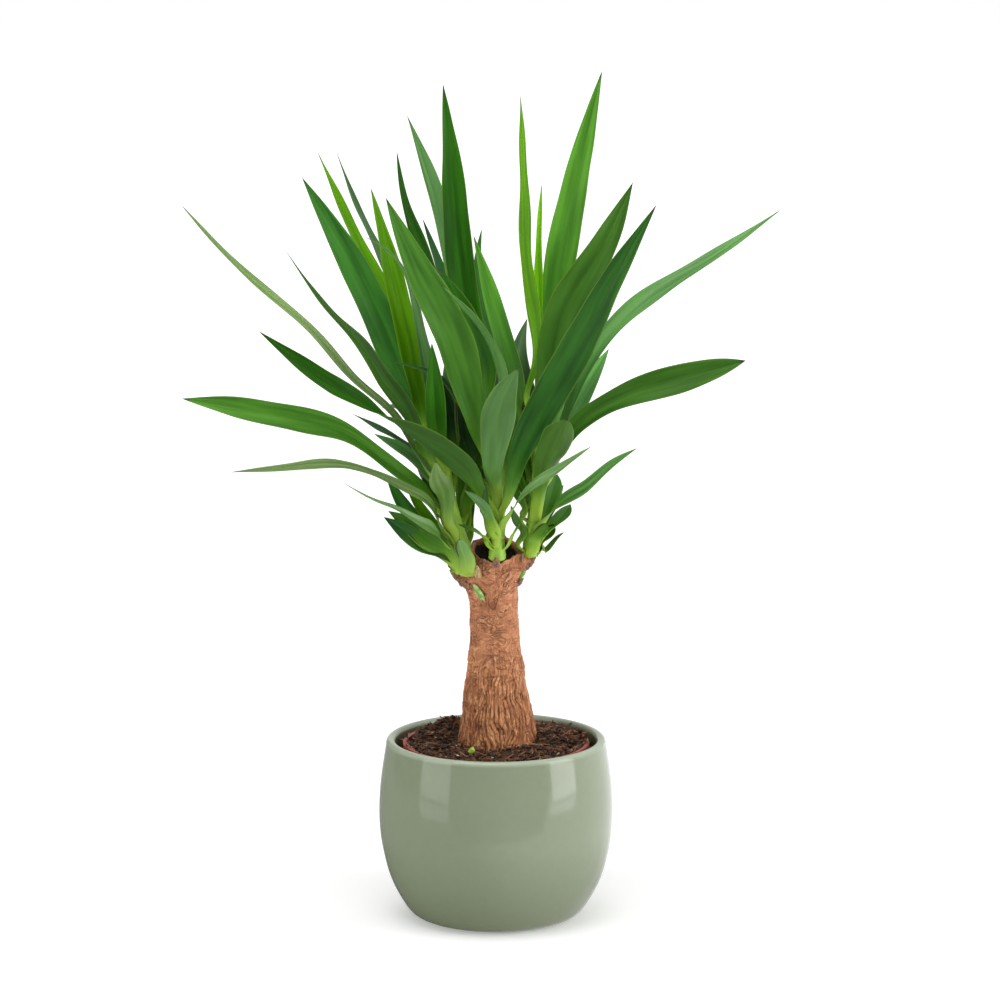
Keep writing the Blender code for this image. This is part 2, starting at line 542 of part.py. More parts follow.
def make_leaves():
    """Every leaf of the three shoots, numbered upwards on its own shoot."""
    for side, rows in (("left", LEFT_LEAVES), ("centre", CENTRE_LEAVES), ("right", RIGHT_LEAVES)):
        for number, row in enumerate(rows, start=1):
            make_leaf("leaf_%s_%02d" % (side, number), side, row)


def make_bud(name, foot, away, length, thickness):
    """A pointed bud that stands on a spot and grows in the given direction."""
    foot = np.array(foot, dtype=float)
    axis = unit(np.array(away, dtype=float))
    side = unit(np.cross(axis, (0.3, -0.5, 0.9)))
    over = np.cross(axis, side)
    angle = np.arange(BUD_SIDES)[:, None] * 2 * math.pi / BUD_SIDES
    rings = []
    for share, girth in BUD_OUTLINE:
        ring = (np.cos(angle) * side + np.sin(angle) * over) * girth * thickness / 2
        rings.append(foot + axis * share * length + ring)
    points, faces = capped_rings(np.array(rings), foot, foot + axis * length)
    return add_piece(name, points, faces, finish(name, SPROUT_GREEN))


def main():
    for old in list(bpy.data.objects):
        bpy.data.objects.remove(old, do_unlink=True)
    make_ceramic_pot()
    make_grow_pot()
    make_soil()
    trunk = make_trunk()
    make_shoots(trunk)
    make_leaves()
    for bud in BUDS:
        make_bud(*bud)


main()
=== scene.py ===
# %% [markdown]
# # A potted yucca
#
# The plant is a cut cane with three leafy shoots.  It stands in a nursery pot of peat, and that
# pot stands in a glazed cover pot.  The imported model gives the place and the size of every
# piece, and the cells below give each piece its fine surface and its finish.
#
# Lengths are in millimetres, because leaves and bark are easy to think about in them.  MM
# turns them into the metres that Blender uses.

# %% Load the frame
import math

import bmesh
import bpy
import numpy as np
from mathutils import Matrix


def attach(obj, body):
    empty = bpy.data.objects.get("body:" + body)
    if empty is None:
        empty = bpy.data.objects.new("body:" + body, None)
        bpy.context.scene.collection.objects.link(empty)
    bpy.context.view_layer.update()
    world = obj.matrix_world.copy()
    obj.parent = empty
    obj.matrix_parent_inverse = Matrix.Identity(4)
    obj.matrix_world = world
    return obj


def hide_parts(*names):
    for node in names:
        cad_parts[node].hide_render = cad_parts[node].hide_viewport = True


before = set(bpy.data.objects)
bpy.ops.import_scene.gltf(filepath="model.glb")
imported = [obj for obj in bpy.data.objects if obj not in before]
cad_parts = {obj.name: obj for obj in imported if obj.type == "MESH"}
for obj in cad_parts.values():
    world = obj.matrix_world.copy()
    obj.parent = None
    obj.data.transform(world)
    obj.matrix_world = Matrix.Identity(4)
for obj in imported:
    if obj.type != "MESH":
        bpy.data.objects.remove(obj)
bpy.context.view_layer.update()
MM = 0.001
TURN = 2 * math.pi

# %% [markdown]
# ## Wires: shader maths in plain Python
#
# A material is a tree of small nodes.  Each sum can be added by hand in the editor, but twenty
# Math nodes are hard to read.  Here one class stands for the output of a node, and `a * b + 1`
# on such wires adds the Math nodes that work it out.  Every other node comes from its one
# method `node`, which takes the node's type, its settings and what goes into its sockets.

# %% The Wire class
def operator(name, reflected=False):
    """A method that adds one Math node; the reflected one serves a number to the left of a wire."""
    if reflected:
        return lambda self, other: self.math(name, other, self)
    return lambda self, *others: self.math(name, self, *others)


class Wire:
    """The output of a node.  Operators on wires add Math nodes to the same tree."""

    def __init__(self, tree, socket=None):
        """Without a socket, the wire only serves to start a tree."""
        self.tree = tree
        self.socket = socket

    def node(self, kind, settings=None, inputs=None, output=0):
        """Adds a node: first its settings, then the value or the link of each socket."""
        made = self.tree.nodes.new(kind)
        for key, value in (settings or {}).items():
            setattr(made, key, value)
        for key, value in (inputs or {}).items():
            if isinstance(value, Wire):
                self.tree.links.new(value.socket, made.inputs[key])
            else:
                made.inputs[key].default_value = value
        return Wire(self.tree, made.outputs[output] if made.outputs else None)

    def math(self, operation, *values):
        """Adds a Math node that works on wires or numbers."""
        return self.node("ShaderNodeMath", {"operation": operation}, dict(enumerate(values)))

    __add__, __radd__ = operator("ADD"), operator("ADD", True)
    __sub__, __rsub__ = operator("SUBTRACT"), operator("SUBTRACT", True)
    __mul__, __rmul__ = operator("MULTIPLY"), operator("MULTIPLY", True)
    __truediv__, __pow__, __abs__ = operator("DIVIDE"), operator("POWER"), operator("ABSOLUTE")


def ease(wire, low, high):
    """0 where the wire is under low, 1 where it is over high, and a smooth rise between."""
    return wire.node("ShaderNodeMapRange", {"interpolation_type": "SMOOTHSTEP"},
                     {"Value": wire, "From Min": low, "From Max": high})


def tint(share, first, second):
    """The first colour where share is 0 and the second where it is 1."""
    first, second = ((*c, 1.0) if isinstance(c, tuple) else c for c in (first, second))
    return share.node("ShaderNodeMix", {"data_type": "RGBA"}, {0: share, 6: first, 7: second}, 2)


def shade(colour, factor):
    """The colour made darker or lighter by a factor that may change over the surface."""
    grey = factor.node("ShaderNodeCombineXYZ", None, {0: factor, 1: factor, 2: factor})
    return factor.node("ShaderNodeVectorMath", {"operation": "MULTIPLY"}, {0: colour, 1: grey})


def parts(vector):
    """The three numbers of a vector."""
    return [vector.node("ShaderNodeSeparateXYZ", None, {0: vector}, i) for i in range(3)]


def vector(x, y, z):
    """A vector from numbers, of which the first is a wire."""
    return x.node("ShaderNodeCombineXYZ", None, {0: x, 1: y, 2: z})


def length(vector):
    """How long a vector is."""
    return vector.node("ShaderNodeVectorMath", {"operation": "LENGTH"}, {0: vector}, 1)


def mark(place, name):
    """The three numbers that the points of a piece carry under a name."""
    return parts(place.node("ShaderNodeAttribute", {"attribute_name": name}, None, 1))


def noise(place, scale, detail=3.0, roughness=0.55, distortion=0.0):
    """Soft random grey from 0 to 1 that follows a place."""
    return place.node("ShaderNodeTexNoise", None, {"Vector": place, "Scale": scale, "Detail": detail,
                                                   "Roughness": roughness, "Distortion": distortion})


def ridges(wire, count):
    """Rises and falls between 0 and 1, count times while the wire goes from 0 to 1."""
    return wire.math("PINGPONG", wire * (2 * count), 1.0)


def bump(height, strength, distance_mm):
    """A normal that makes the surface look as high as the wire says."""
    return height.node("ShaderNodeBump", None, {"Strength": strength, "Distance": distance_mm * MM,
                                                "Height": height})


def painted(name, skin, *values):
    """A material: skin works out the inputs of its Principled shader from a place on the surface."""
    material = bpy.data.materials.new(name)
    material.use_nodes = True
    material.node_tree.nodes.clear()
    place = Wire(material.node_tree).node("ShaderNodeTexCoord", None, None, 3)
    shader = place.node("ShaderNodeBsdfPrincipled", None, skin(place, *values))
    place.node("ShaderNodeOutputMaterial", None, {"Surface": shader})
    return material


print("wires ready")

# %% [markdown]
# ## Camera, floor and light
#
# A plant pack shot is taken with a long lens from slightly above.  The floor and the far wall
# are white and run into each other.  The room behind the camera is dimmer, and that is what
# gives glaze and leaves their form: two tall softboxes stand left and right of the lens, and a
# large one hangs overhead.  The cards on the floor and to the left only show in reflections.

# %% Place the camera
CAMERA_PLACE = (0.003, -2.954, 0.838)    # in metres
CAMERA_LOOKS_DOWN = 10                   # degrees
SENSOR_WIDTH = 36                        # millimetres, as is the lens
LENS = 145
camera = bpy.data.objects.new("camera", bpy.data.cameras.new("camera"))
bpy.context.collection.objects.link(camera)
bpy.context.scene.camera = camera
camera.location = CAMERA_PLACE
camera.rotation_euler = (math.radians(90 - CAMERA_LOOKS_DOWN), 0, 0)
camera.data.sensor_width = SENSOR_WIDTH
camera.data.lens = LENS
print("camera", round(camera.location.length, 2), "m from the foot of the pot")

# %% Build the studio
FLOOR_WHITE = 0.90
FLOOR_GLOW = (0.27, 0.80)    # light that the white floor gives off near the pot and far away
ROOM_FRONT = 0.26            # how bright the room is behind the camera
ROOM_RIGHT = 0.58            # how bright it grows towards the right
ROOM_BACK = 0.70             # how bright the far wall is
FLOOR_REACH = 12             # metres from the pot to the end of the floor


def add_card(name, corners, material):
    """A flat sheet of the studio from its four corners in metres."""
    mesh = bpy.data.meshes.new(name)
    mesh.from_pydata(corners, [], [(0, 1, 2, 3)])
    mesh.materials.append(material)
    made = bpy.data.objects.new(name, mesh)
    bpy.context.collection.objects.link(made)
    return made


def level_square(reach, z):
    """Corners of a level square round the pot."""
    return [(-reach, -reach, z), (reach, -reach, z), (reach, reach, z), (-reach, reach, z)]


def floor_white(place):
    """White that glows a little by itself: less near the pot, where shadows show."""
    light = FLOOR_GLOW[0] + (FLOOR_GLOW[1] - FLOOR_GLOW[0]) * ease(length(place), 0.4, 3.0)
    return {"Base Color": (FLOOR_WHITE, FLOOR_WHITE, FLOOR_WHITE, 1.0), "Roughness": 0.9,
            "Specular IOR Level": 0.0, "Emission Color": light, "Emission Strength": 1.0}


def around(sides, z):
    """Corners on the floor from (distance, bearing) pairs, in degrees to the right of the lens."""
    return [(reach * math.sin(math.radians(turn)), -reach * math.cos(math.radians(turn)), z)
            for reach, turn in sides]


def glow(place, left, right, near):
    """Light that changes from left to right, and close to the pot falls to the share called near."""
    distance = length(place)
    light = left + (right - left) * ease(parts(place)[0] / distance, -0.75, 0.75)
    light = light * (near + (1 - near) * ease(distance, 0.08, 0.30))
    return {"Base Color": (0, 0, 0, 1), "Specular IOR Level": 0.0, "Emission Color": light,
            "Emission Strength": 1.0}


def reflected(name, corners, *light):
    """A card that glows and only shows in reflections."""
    card = add_card(name, corners, painted(name, glow, *light))
    card.visible_camera = card.visible_diffuse = card.visible_shadow = False


def softbox(name, place, aim, size, power):
    """A rectangular light that points at aim; the camera itself doesn't see it."""
    light = bpy.data.lights.new(name, "AREA")
    light.shape = "RECTANGLE"
    light.size, light.size_y = size
    light.energy = power
    lamp = bpy.data.objects.new(name, light)
    bpy.context.collection.objects.link(lamp)
    lamp.location = place
    away = np.array(place) - np.array(aim)
    tilt = math.atan2(math.hypot(away[0], away[1]), away[2])
    lamp.rotation_euler = (tilt, 0, math.atan2(away[1], away[0]) + math.pi / 2)
    lamp.visible_camera = False


def studio_world():
    """White for the camera; as a light, bright from the far wall and dim from the front."""
    world = bpy.data.worlds.new("studio")
    world.use_nodes = True
    world.node_tree.nodes.clear()
    bpy.context.scene.world = world
    start = Wire(world.node_tree)
    towards_right, towards_back, _ = parts(start.node("ShaderNodeTexCoord", None, None, 0))
    front = ROOM_FRONT + (ROOM_RIGHT - ROOM_FRONT) * ease(towards_right, -0.4, 0.8)
    room = front + (ROOM_BACK - front) * ease(towards_back, -0.5, 0.6)
    seen = start.node("ShaderNodeLightPath")
    strength = room + (1.0 - room) * seen
    light = start.node("ShaderNodeBackground", None, {"Color": (1, 1, 1, 1), "Strength": strength})
    start.node("ShaderNodeOutputWorld", None, {"Surface": light})


# Name, corners, glow on the left and on the right, and the share of it left close to the pot.
CARDS = [
    ("mirror_floor", level_square(FLOOR_REACH, 0.002), 0.25, 1.40, 0.5),
    ("mirror_flag", [(-0.30, -0.33, 0.003), (0.30, -0.33, 0.003), (13, -10, 0.003), (-11, -11, 0.003)],
     0.20, 0.52, 1.0),
    ("mirror_left", around([(0.60, -43.5), (0.60, -73.5), (1.55, -79), (1.55, -46)], 0.004), 1.1, 1.1, 1.0),
    ("mirror_right", around([(0.85, 51), (0.85, 79), (1.52, 83), (1.52, 54)], 0.004), 3.2, 3.2, 1.0),
    ("dark_side", [(-1.49, -0.26, 0), (-0.51, 1.41, 0), (-0.51, 1.41, 1.3), (-1.49, -0.26, 1.3)],
     0.04, 0.50, 1.0),
]
# Name, place, the point it aims at, width and height, and power.
SOFTBOXES = [
    ("softbox_left", (-1.341, -0.698, 0.72), (0, 0, 0.5), (0.95, 1.4), 5.8),
    ("softbox_right", (1.42, -0.50, 0.72), (0, 0, 0.5), (0.82, 1.4), 12),
    ("softbox_top", (-0.2, -0.35, 1.7), (0, 0, 0.35), (1.2, 1.2), 13.5),
]
bpy.context.scene.view_settings.view_transform = "Standard"
studio_world()
add_card("floor", level_square(FLOOR_REACH, 0), painted("floor", floor_white))
for card in CARDS:
    reflected(*card)
for box in SOFTBOXES:
    softbox(*box)
print("studio ready")

# %% [markdown]
# ## Surfaces on a grid
#
# Nearly everything here is a bent grid: rows run along the piece and columns run round it.
# The places of all the points are worked out at once as numpy arrays, so a shape is a formula
# and not a loop.  A closed piece ends on rows whose points all meet, and merging those makes
# a clean pole.

# %% Grid helpers
def grid_faces(rows, columns):
    """Quads between the rows of a grid whose last column joins its first."""
    corner = np.arange(rows * columns).reshape(rows, columns)
    after = np.roll(corner, -1, axis=1)
    return np.stack([corner[:-1], after[:-1], after[1:], corner[1:]], axis=-1).reshape(-1, 4)


def add_piece(name, points, faces, material, replaced=(), marks=None, sharp=180):
    """A closed piece from points in millimetres that rides on the plant.

    marks are vectors or numbers that the points carry for the material, one array each.
    """
    mesh = bpy.data.meshes.new(name)
    mesh.from_pydata((points * MM).tolist(), [], faces.tolist())
    for key, values in (marks or {}).items():
        kind, field = ("FLOAT_VECTOR", "vector") if values.ndim == 2 else ("FLOAT", "value")
        carried = mesh.attributes.new(key, kind, "POINT")
        carried.data.foreach_set(field, values.astype(np.float32).ravel())
    shell = bmesh.new()
    shell.from_mesh(mesh)
    bmesh.ops.remove_doubles(shell, verts=shell.verts, dist=1e-7)
    bmesh.ops.recalc_face_normals(shell, faces=shell.faces)
    shell.to_mesh(mesh)
    shell.free()
    mesh.shade_smooth()
    if sharp < 180:
        mesh.set_sharp_from_angle(angle=math.radians(sharp))
    mesh.materials.append(material)
    piece = bpy.data.objects.new(name, mesh)
    bpy.context.collection.objects.link(piece)
    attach(piece, "root")
    if replaced:
        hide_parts(*replaced)
    return piece


def grid_piece(name, grid, material, replaced=(), marks=None, sharp=180):
    """A closed piece from a grid of points whose columns run round it."""
    rows, columns, _ = grid.shape
    flat = {key: values.reshape(rows * columns, -1).squeeze() for key, values in (marks or {}).items()}
    faces = grid_faces(rows, columns)
    return add_piece(name, grid.reshape(-1, 3), faces, material, replaced, flat, sharp)


def smooth_step(x, low, high):
    """0 under low, 1 over high, and a smooth rise between."""
    share = np.clip((x - low) / (high - low), 0, 1)
    return share * share * (3 - 2 * share)


def unit(vectors):
    """The same directions with length 1."""
    return vectors / np.linalg.norm(vectors, axis=-1, keepdims=True)


def lattice(u, v, seed, around=256):
    """Smooth random numbers from -1 to 1, one per whole step of u and v and eased between.

    u repeats after `around` steps, so that a pattern closes round a trunk.
    """
    table = np.random.default_rng(seed).uniform(-1, 1, (around, 256))
    low_u, low_v = np.floor(u), np.floor(v)
    ease_u, ease_v = (smooth_step(part, 0, 1) for part in (u - low_u, v - low_v))
    i, j = low_u.astype(int) % around, low_v.astype(int) % 256
    k, m = (i + 1) % around, (j + 1) % 256
    lower = table[i, j] * (1 - ease_u) + table[k, j] * ease_u
    upper = table[i, m] * (1 - ease_u) + table[k, m] * ease_u
    return lower * (1 - ease_v) + upper * ease_v


def strips(u, v, seed, columns, around=256):
    """Long plates side by side.  Each step of u is one column of plates, and each column is
    cut across once per step of v, at places of its own.  Returns how far a place is from the
    side and from the end of its plate, in steps, and the plate's number from 0 to 1.
    """
    table = np.random.default_rng(seed).random((2, columns, 256))
    column = np.floor(u).astype(int)
    v = v + around * table[0, column % columns, 0]
    row = np.floor(v).astype(int)
    across, along = u - column, v - row
    number = table[1, column % columns, row % around]
    return np.minimum(across, 1 - across), np.minimum(along, 1 - along), number


def smooth_through(points, count):
    """Points at even steps along the natural cubic spline through the given ones."""
    knots = np.asarray(points, dtype=float)
    steps = np.linalg.norm(np.diff(knots, axis=0), axis=1)
    along = np.concatenate(([0.0], np.cumsum(steps)))
    last = len(knots) - 1
    matrix = np.eye(last + 1)
    pull = np.zeros_like(knots)
    for i in range(1, last):
        matrix[i, i - 1:i + 2] = steps[i - 1], 2 * (steps[i - 1] + steps[i]), steps[i]
        pull[i] = 6 * ((knots[i + 1] - knots[i]) / steps[i] - (knots[i] - knots[i - 1]) / steps[i - 1])
    bend = np.linalg.solve(matrix, pull)
    place = np.linspace(0.0, along[-1], count)
    span = np.clip(np.searchsorted(along, place, side="right") - 1, 0, last - 1)
    width = steps[span][:, None]
    left = (along[span + 1] - place)[:, None] / width
    right = 1.0 - left
    curve = left * knots[span] + right * knots[span + 1]
    return curve + ((left ** 3 - left) * bend[span] + (right ** 3 - right) * bend[span + 1]) * width ** 2 / 6


print("grid of 3 by 4:", len(grid_faces(3, 4)), "quads")

# %% [markdown]
# ## The cover pot
#
# The pot is thrown and dipped in celadon glaze.  A lathe would do for the shape: an outline
# turned about Z.  The outline follows a smooth curve through a few radii, a half-round lip
# joins the outside to the inside, and the row count is high so that reflections run clean.
# Celadon is a clear green glass over a pale body.  It is darker towards the foot, and paler on
# the lip, partly where the glaze thins and partly as a painted highlight.

# %% Turn the cover pot
POT_OUTSIDE = [(56, 0), (63.5, 3.2), (70, 11), (76, 21.5), (80.8, 33), (84.2, 46), (86.8, 60),
               (88, 76), (87.7, 92), (86.2, 108), (84, 123), (82.6, 132)]
POT_WALL = 7.0
POT_FLOOR = 9.0
POT_HEIGHT = 136.0
POT_SIDES = 176
POT_ROWS = 90
LIP_ROWS = 17
# The inside wall runs straight down from under the lip to the rounded edge of the floor.
POT_WALL_TOP = 126.0
POT_WALL_FOOT = POT_FLOOR + 14.0


def turned(profile, sides):
    """A grid of points: each (radius, height) of the profile goes round the Z axis."""
    angle = np.arange(sides) * TURN / sides
    profile = np.asarray(profile, dtype=float)
    radius, height = profile[:, :1], profile[:, 1:]
    return np.stack([radius * np.cos(angle), radius * np.sin(angle), height + 0 * angle], axis=-1)


def pot_profile():
    """The pot's outline from the middle of its foot, over the lip, to the middle of its floor."""
    outside = smooth_through(POT_OUTSIDE, POT_ROWS)
    lip_radius = POT_WALL / 2
    swing = np.linspace(0, math.pi, LIP_ROWS)[:, None]
    lip_middle = (outside[-1, 0] - lip_radius, POT_HEIGHT - lip_radius)
    lip = lip_middle + lip_radius * np.hstack([np.cos(swing), np.sin(swing)])
    height = np.linspace(POT_WALL_TOP, POT_WALL_FOOT, 30)
    wall = np.column_stack([np.interp(height, outside[:, 1], outside[:, 0]) - POT_WALL, height])
    floor_edge = [(wall[-1, 0] - 3.0, POT_FLOOR + 5.0), (wall[-1, 0] - 11.0, POT_FLOOR), (0, POT_FLOOR)]
    foot = [(0, 0), (outside[0, 0] - 1.5, 0)]
    return np.vstack([foot, outside[:-1], lip, wall, floor_edge])


def celadon_glaze(place):
    """Celadon: mottled sage green, darker towards the foot, and paler on the lip, where the glaze thins and a
    highlight is painted on.
    """
    height = parts(place)[2] * 1000
    cloud = noise(place, 9.0, 4.0)
    fleck = noise(place, 160.0, 2.0)
    near_foot = 1 - ease(height, 4.0, 70.0)
    colour = tint(cloud, (0.208, 0.248, 0.158), (0.250, 0.292, 0.197))
    colour = tint(near_foot * 0.62, colour, (0.145, 0.168, 0.094))
    # The lip is mixed towards pale green: partly thinner glaze, partly a painted highlight along the lip.
    colour = tint(ease(height, 131.5, 135.5) * 0.7, colour, (0.46, 0.53, 0.40))
    colour = shade(colour, 0.96 + 0.08 * fleck)
    skin = bump(noise(place, 24.0, 2.0), 0.25, 0.35)
    return {"Base Color": colour, "Roughness": 0.06 + 0.10 * cloud, "Normal": skin,
            "Specular IOR Level": 0.6}


pot = grid_piece("glazed_cover_pot", turned(pot_profile(), POT_SIDES),
                 painted("celadon_glaze", celadon_glaze), ["ceramic_pot"])
print("cover pot:", len(pot.data.polygons), "faces")

# %% [markdown]
# ## The nursery pot
#
# Inside the glazed pot the plant still stands in its thin terracotta-coloured nursery pot.
# Only its rim shows, as a thin red line between glaze and soil, but the rest is there as well.

# %% Turn the nursery pot
GROW_RIM_RADIUS = 70.3
GROW_TOP = 133.0
GROW_RIM_DEPTH = 8.0
GROW_RIM_WIDTH = 3.2
GROW_FOOT_RADIUS = 50.0
GROW_WALL = 1.3
GROW_SIDES = 120
GAP = 0.3    # what touching pieces keep between them


def grow_wall_radius(height):
    """Outer radius of the nursery pot's tapered wall at a height."""
    share = (height - POT_FLOOR) / (GROW_TOP - POT_FLOOR)
    return GROW_FOOT_RADIUS + share * (GROW_RIM_RADIUS - GROW_RIM_WIDTH + GROW_WALL - GROW_FOOT_RADIUS)


def grow_profile():
    """The nursery pot's outline from the middle of its underside to the middle of its floor."""
    foot, step = POT_FLOOR + GAP, GROW_TOP - GROW_RIM_DEPTH
    top, rim = foot + GROW_WALL, GROW_RIM_RADIUS
    wall_foot, wall_top = grow_wall_radius(top), grow_wall_radius(step)
    outside = [(0, foot), (GROW_FOOT_RADIUS - 1, foot), (GROW_FOOT_RADIUS, foot + 1), (wall_top, step)]
    lip = [(rim - 0.4, step), (rim, GROW_TOP - 1.0), (rim - 0.4, GROW_TOP - 0.2), (rim - 1.0, GROW_TOP),
           (rim - GROW_RIM_WIDTH, GROW_TOP - 0.4)]
    inside = [(wall_top - GROW_WALL, step - 1.5), (wall_foot - GROW_WALL, top), (0, top)]
    return outside + lip + inside


def terracotta_plastic(place):
    """Moulded plastic in terracotta red, faintly scuffed and dusty with peat."""
    dust = ease(noise(place, 55.0, 5.0), 0.48, 0.7)
    colour = tint(dust, (0.36, 0.045, 0.028), (0.17, 0.055, 0.035))
    return {"Base Color": colour, "Roughness": 0.38 + 0.3 * dust, "Normal": bump(dust, 0.3, 0.2)}


plastic = painted("terracotta_plastic", terracotta_plastic)
grow = grid_piece("nursery_pot", turned(grow_profile(), GROW_SIDES), plastic,
                  ["grow_pot"], sharp=35)
print("nursery pot:", len(grow.data.polygons), "faces")

# %% [markdown]
# ## The cane
#
# The cane is a length of old yucca stem, swollen at the foot and sawn off at the top.  Low
# down its bark has split into upright strips with grooves between them; higher up it is
# smoother, with the level wrinkles of old leaf scars.  A bump map would leave the outline
# smooth, so the relief is real: columns of plates, smooth noise to bend them, and a finer
# grain on top.  Only the finest fibres are left to the material.  The grooves and pits carry
# painted shade and the crests of the plates a painted highlight.  The heart has dried out and
# left a hollow, painted near black: its dark pith and the shade that falls into it.

# %% Shape the cane
CANE_FOOT = 84.0
CANE_DENSE_FROM = 119.0
CANE_LINE = [(0.7, 0, 84), (0.7, 0, 128), (1.2, 0, 148), (0, 0, 176), (-0.8, 0, 210),
             (-2, 0, 245), (-1.5, 0, 272)]
CANE_RADIUS = [(84, 27.5), (118, 30.5), (130, 30.3), (148, 27.4), (163, 25), (176, 22.7),
               (188, 20.8), (210, 18.6), (240, 17.9), (262, 18.2), (276, 17.6)]
CANE_TOP_FRONT = 274.5
CANE_TOP_BACK = 289.0
CANE_SIDES = 300
CANE_ROWS = 262
# From the sawn rim down into the hollow: share of the cane's radius, and drop below the rim.
CANE_HOLLOW = [(0.96, 0.3), (0.9, 0.5), (0.84, 1.6), (0.79, 4.0), (0.75, 7.0), (0.7, 9.5), (0.6, 11.0),
               (0.45, 11.6), (0.25, 12.0), (0.0, 12.0)]
# Under the soil: radius and height.
CANE_BURIED = [(0.0, CANE_FOOT), (27.0, CANE_FOOT), (28.5, CANE_DENSE_FROM - 8)]
# Shoulders of bark under the side shoots: bearing in degrees, height, reach.
CANE_SHOULDERS = [(200, 258, 8.5), (-8, 271.5, 12.5), (265, 262, 2.0)]
CANE_SHOULDER_SPREAD = 0.42    # radians
CANE_SHOULDER_HEIGHT = 8.0
# Pits where roots or buds once stood, painted dark as shade in the material: bearing in degrees, height,
# radius.
CANE_PITS = [(262, 222, 1.3), (281, 205, 1.0), (250, 186, 1.5), (236, 240, 1.1), (301, 236, 0.9),
             (318, 198, 1.2), (287, 171, 1.5), (228, 160, 1.4), (270, 148, 1.3), (20, 214, 1.3),
             (60, 190, 1.5), (95, 228, 1.2), (130, 178, 1.4), (160, 220, 1.1), (345, 182, 1.2)]


def bark_relief(angle, height):
    """How far the bark stands proud, in millimetres, and its marks for the material.

    Upright strips low down give way to level wrinkles above; noise bends both, and every
    strip has a level of its own.
    """
    turn = angle / TURN
    bend_u = lattice(turn * 16, height / 9, 3, 16)
    bend_v = lattice(turn * 16 + 5, height / 9 + 7, 4, 16)
    swirl = lattice(turn * 7, height / 19, 6, 7)
    lump = lattice(turn * 9, height / 13, 15, 9)
    grain = lattice(turn * 150, height / 5 + 2 * bend_v, 14, 150)
    wobble = 14 * lattice(turn * 7, height / 22, 5, 7)
    upright = 1 - smooth_step(height + wobble, 180, 226)
    level = smooth_step(height + wobble, 150, 210)
    side, end, strip = strips(turn * 52 + 1.1 * bend_u, height / 12 + 0.8 * bend_v, 11, 52)
    fine_side, fine_end, fine = strips(turn * 80 + 0.9 * bend_v, height / 6.5 + 0.6 * bend_u, 12, 80)
    climb = height / 6.4 + 1.0 * bend_v + 1.2 * swirl
    ring_side, ring_end, ring = strips(climb, turn * 9 + 0.8 * bend_u, 13, 256, 9)
    torn = smooth_step(lattice(turn * 26, height / 7, 16, 26), -0.9, 0.4)
    frayed = smooth_step(lattice(turn * 34 + 9, height / 6, 17, 34), -0.5, 0.7)
    gap = np.minimum(side * 3.0, end * 10 + 0.3)
    ring_gap = np.minimum(ring_side * 6.4, ring_end * 14)
    groove = (1 - smooth_step(gap, 0.0, 0.55)) * (0.15 + 0.75 * torn)
    fine_groove = (1 - smooth_step(np.minimum(fine_side * 1.8, fine_end * 6.5), 0.0, 0.5)) * frayed
    wrinkle = (1 - smooth_step(ring_gap, 0.0, 0.9)) * frayed
    crest = (upright * np.exp(-((gap - 1.05) / 0.35) ** 2) * torn
             + level * 0.7 * np.exp(-((ring_gap - 1.3) / 0.45) ** 2) * frayed)
    low = 1.3 * strip - 0.8 * groove + 0.25 * grain
    high = 0.8 * ring - 0.9 * wrinkle + 0.20 * grain + 0.5 * bend_u
    relief = 0.5 * lump + upright * low + level * high + 0.35 * crest + 0.5 * fine - 0.4 * fine_groove
    depth = np.maximum(np.maximum(upright * groove, level * 0.6 * wrinkle), 0.5 * fine_groove)
    for bearing, middle, size in CANE_PITS:
        off = (angle - math.radians(bearing) + math.pi) % TURN - math.pi
        pit = np.exp(-((off * 20) ** 2 + (height - middle) ** 2) / size ** 2)
        relief = relief - 1.5 * pit
        depth = np.maximum(depth, pit)
    mottle = lattice(turn * 22, height / 6.5, 18, 22)
    # The crests of the plates raise the tone: a painted highlight along the ridges.
    tone = 0.30 * fine + 0.30 * strip * upright + 0.22 * ring * level + 0.16 * mottle + 0.60 * crest
    return relief, depth, tone


def cane_middle(height):
    """Middle of the cane at each height, as (x, y)."""
    line = np.asarray(CANE_LINE, dtype=float)
    return np.interp(height, line[:, 2], line[:, 0]), np.interp(height, line[:, 2], line[:, 1])


def cane_girth(angle, height):
    """Radius of the cane without its relief: the wood, and the shoulders under the shoots."""
    girth = np.asarray(CANE_RADIUS, dtype=float)
    radius = np.interp(height, girth[:, 0], girth[:, 1])
    for bearing, middle, reach in CANE_SHOULDERS:
        off = (angle - math.radians(bearing) + math.pi) % TURN - math.pi
        radius = radius + reach * np.exp(
            -(off / CANE_SHOULDER_SPREAD) ** 2 - ((height - middle) / CANE_SHOULDER_HEIGHT) ** 2)
    return radius


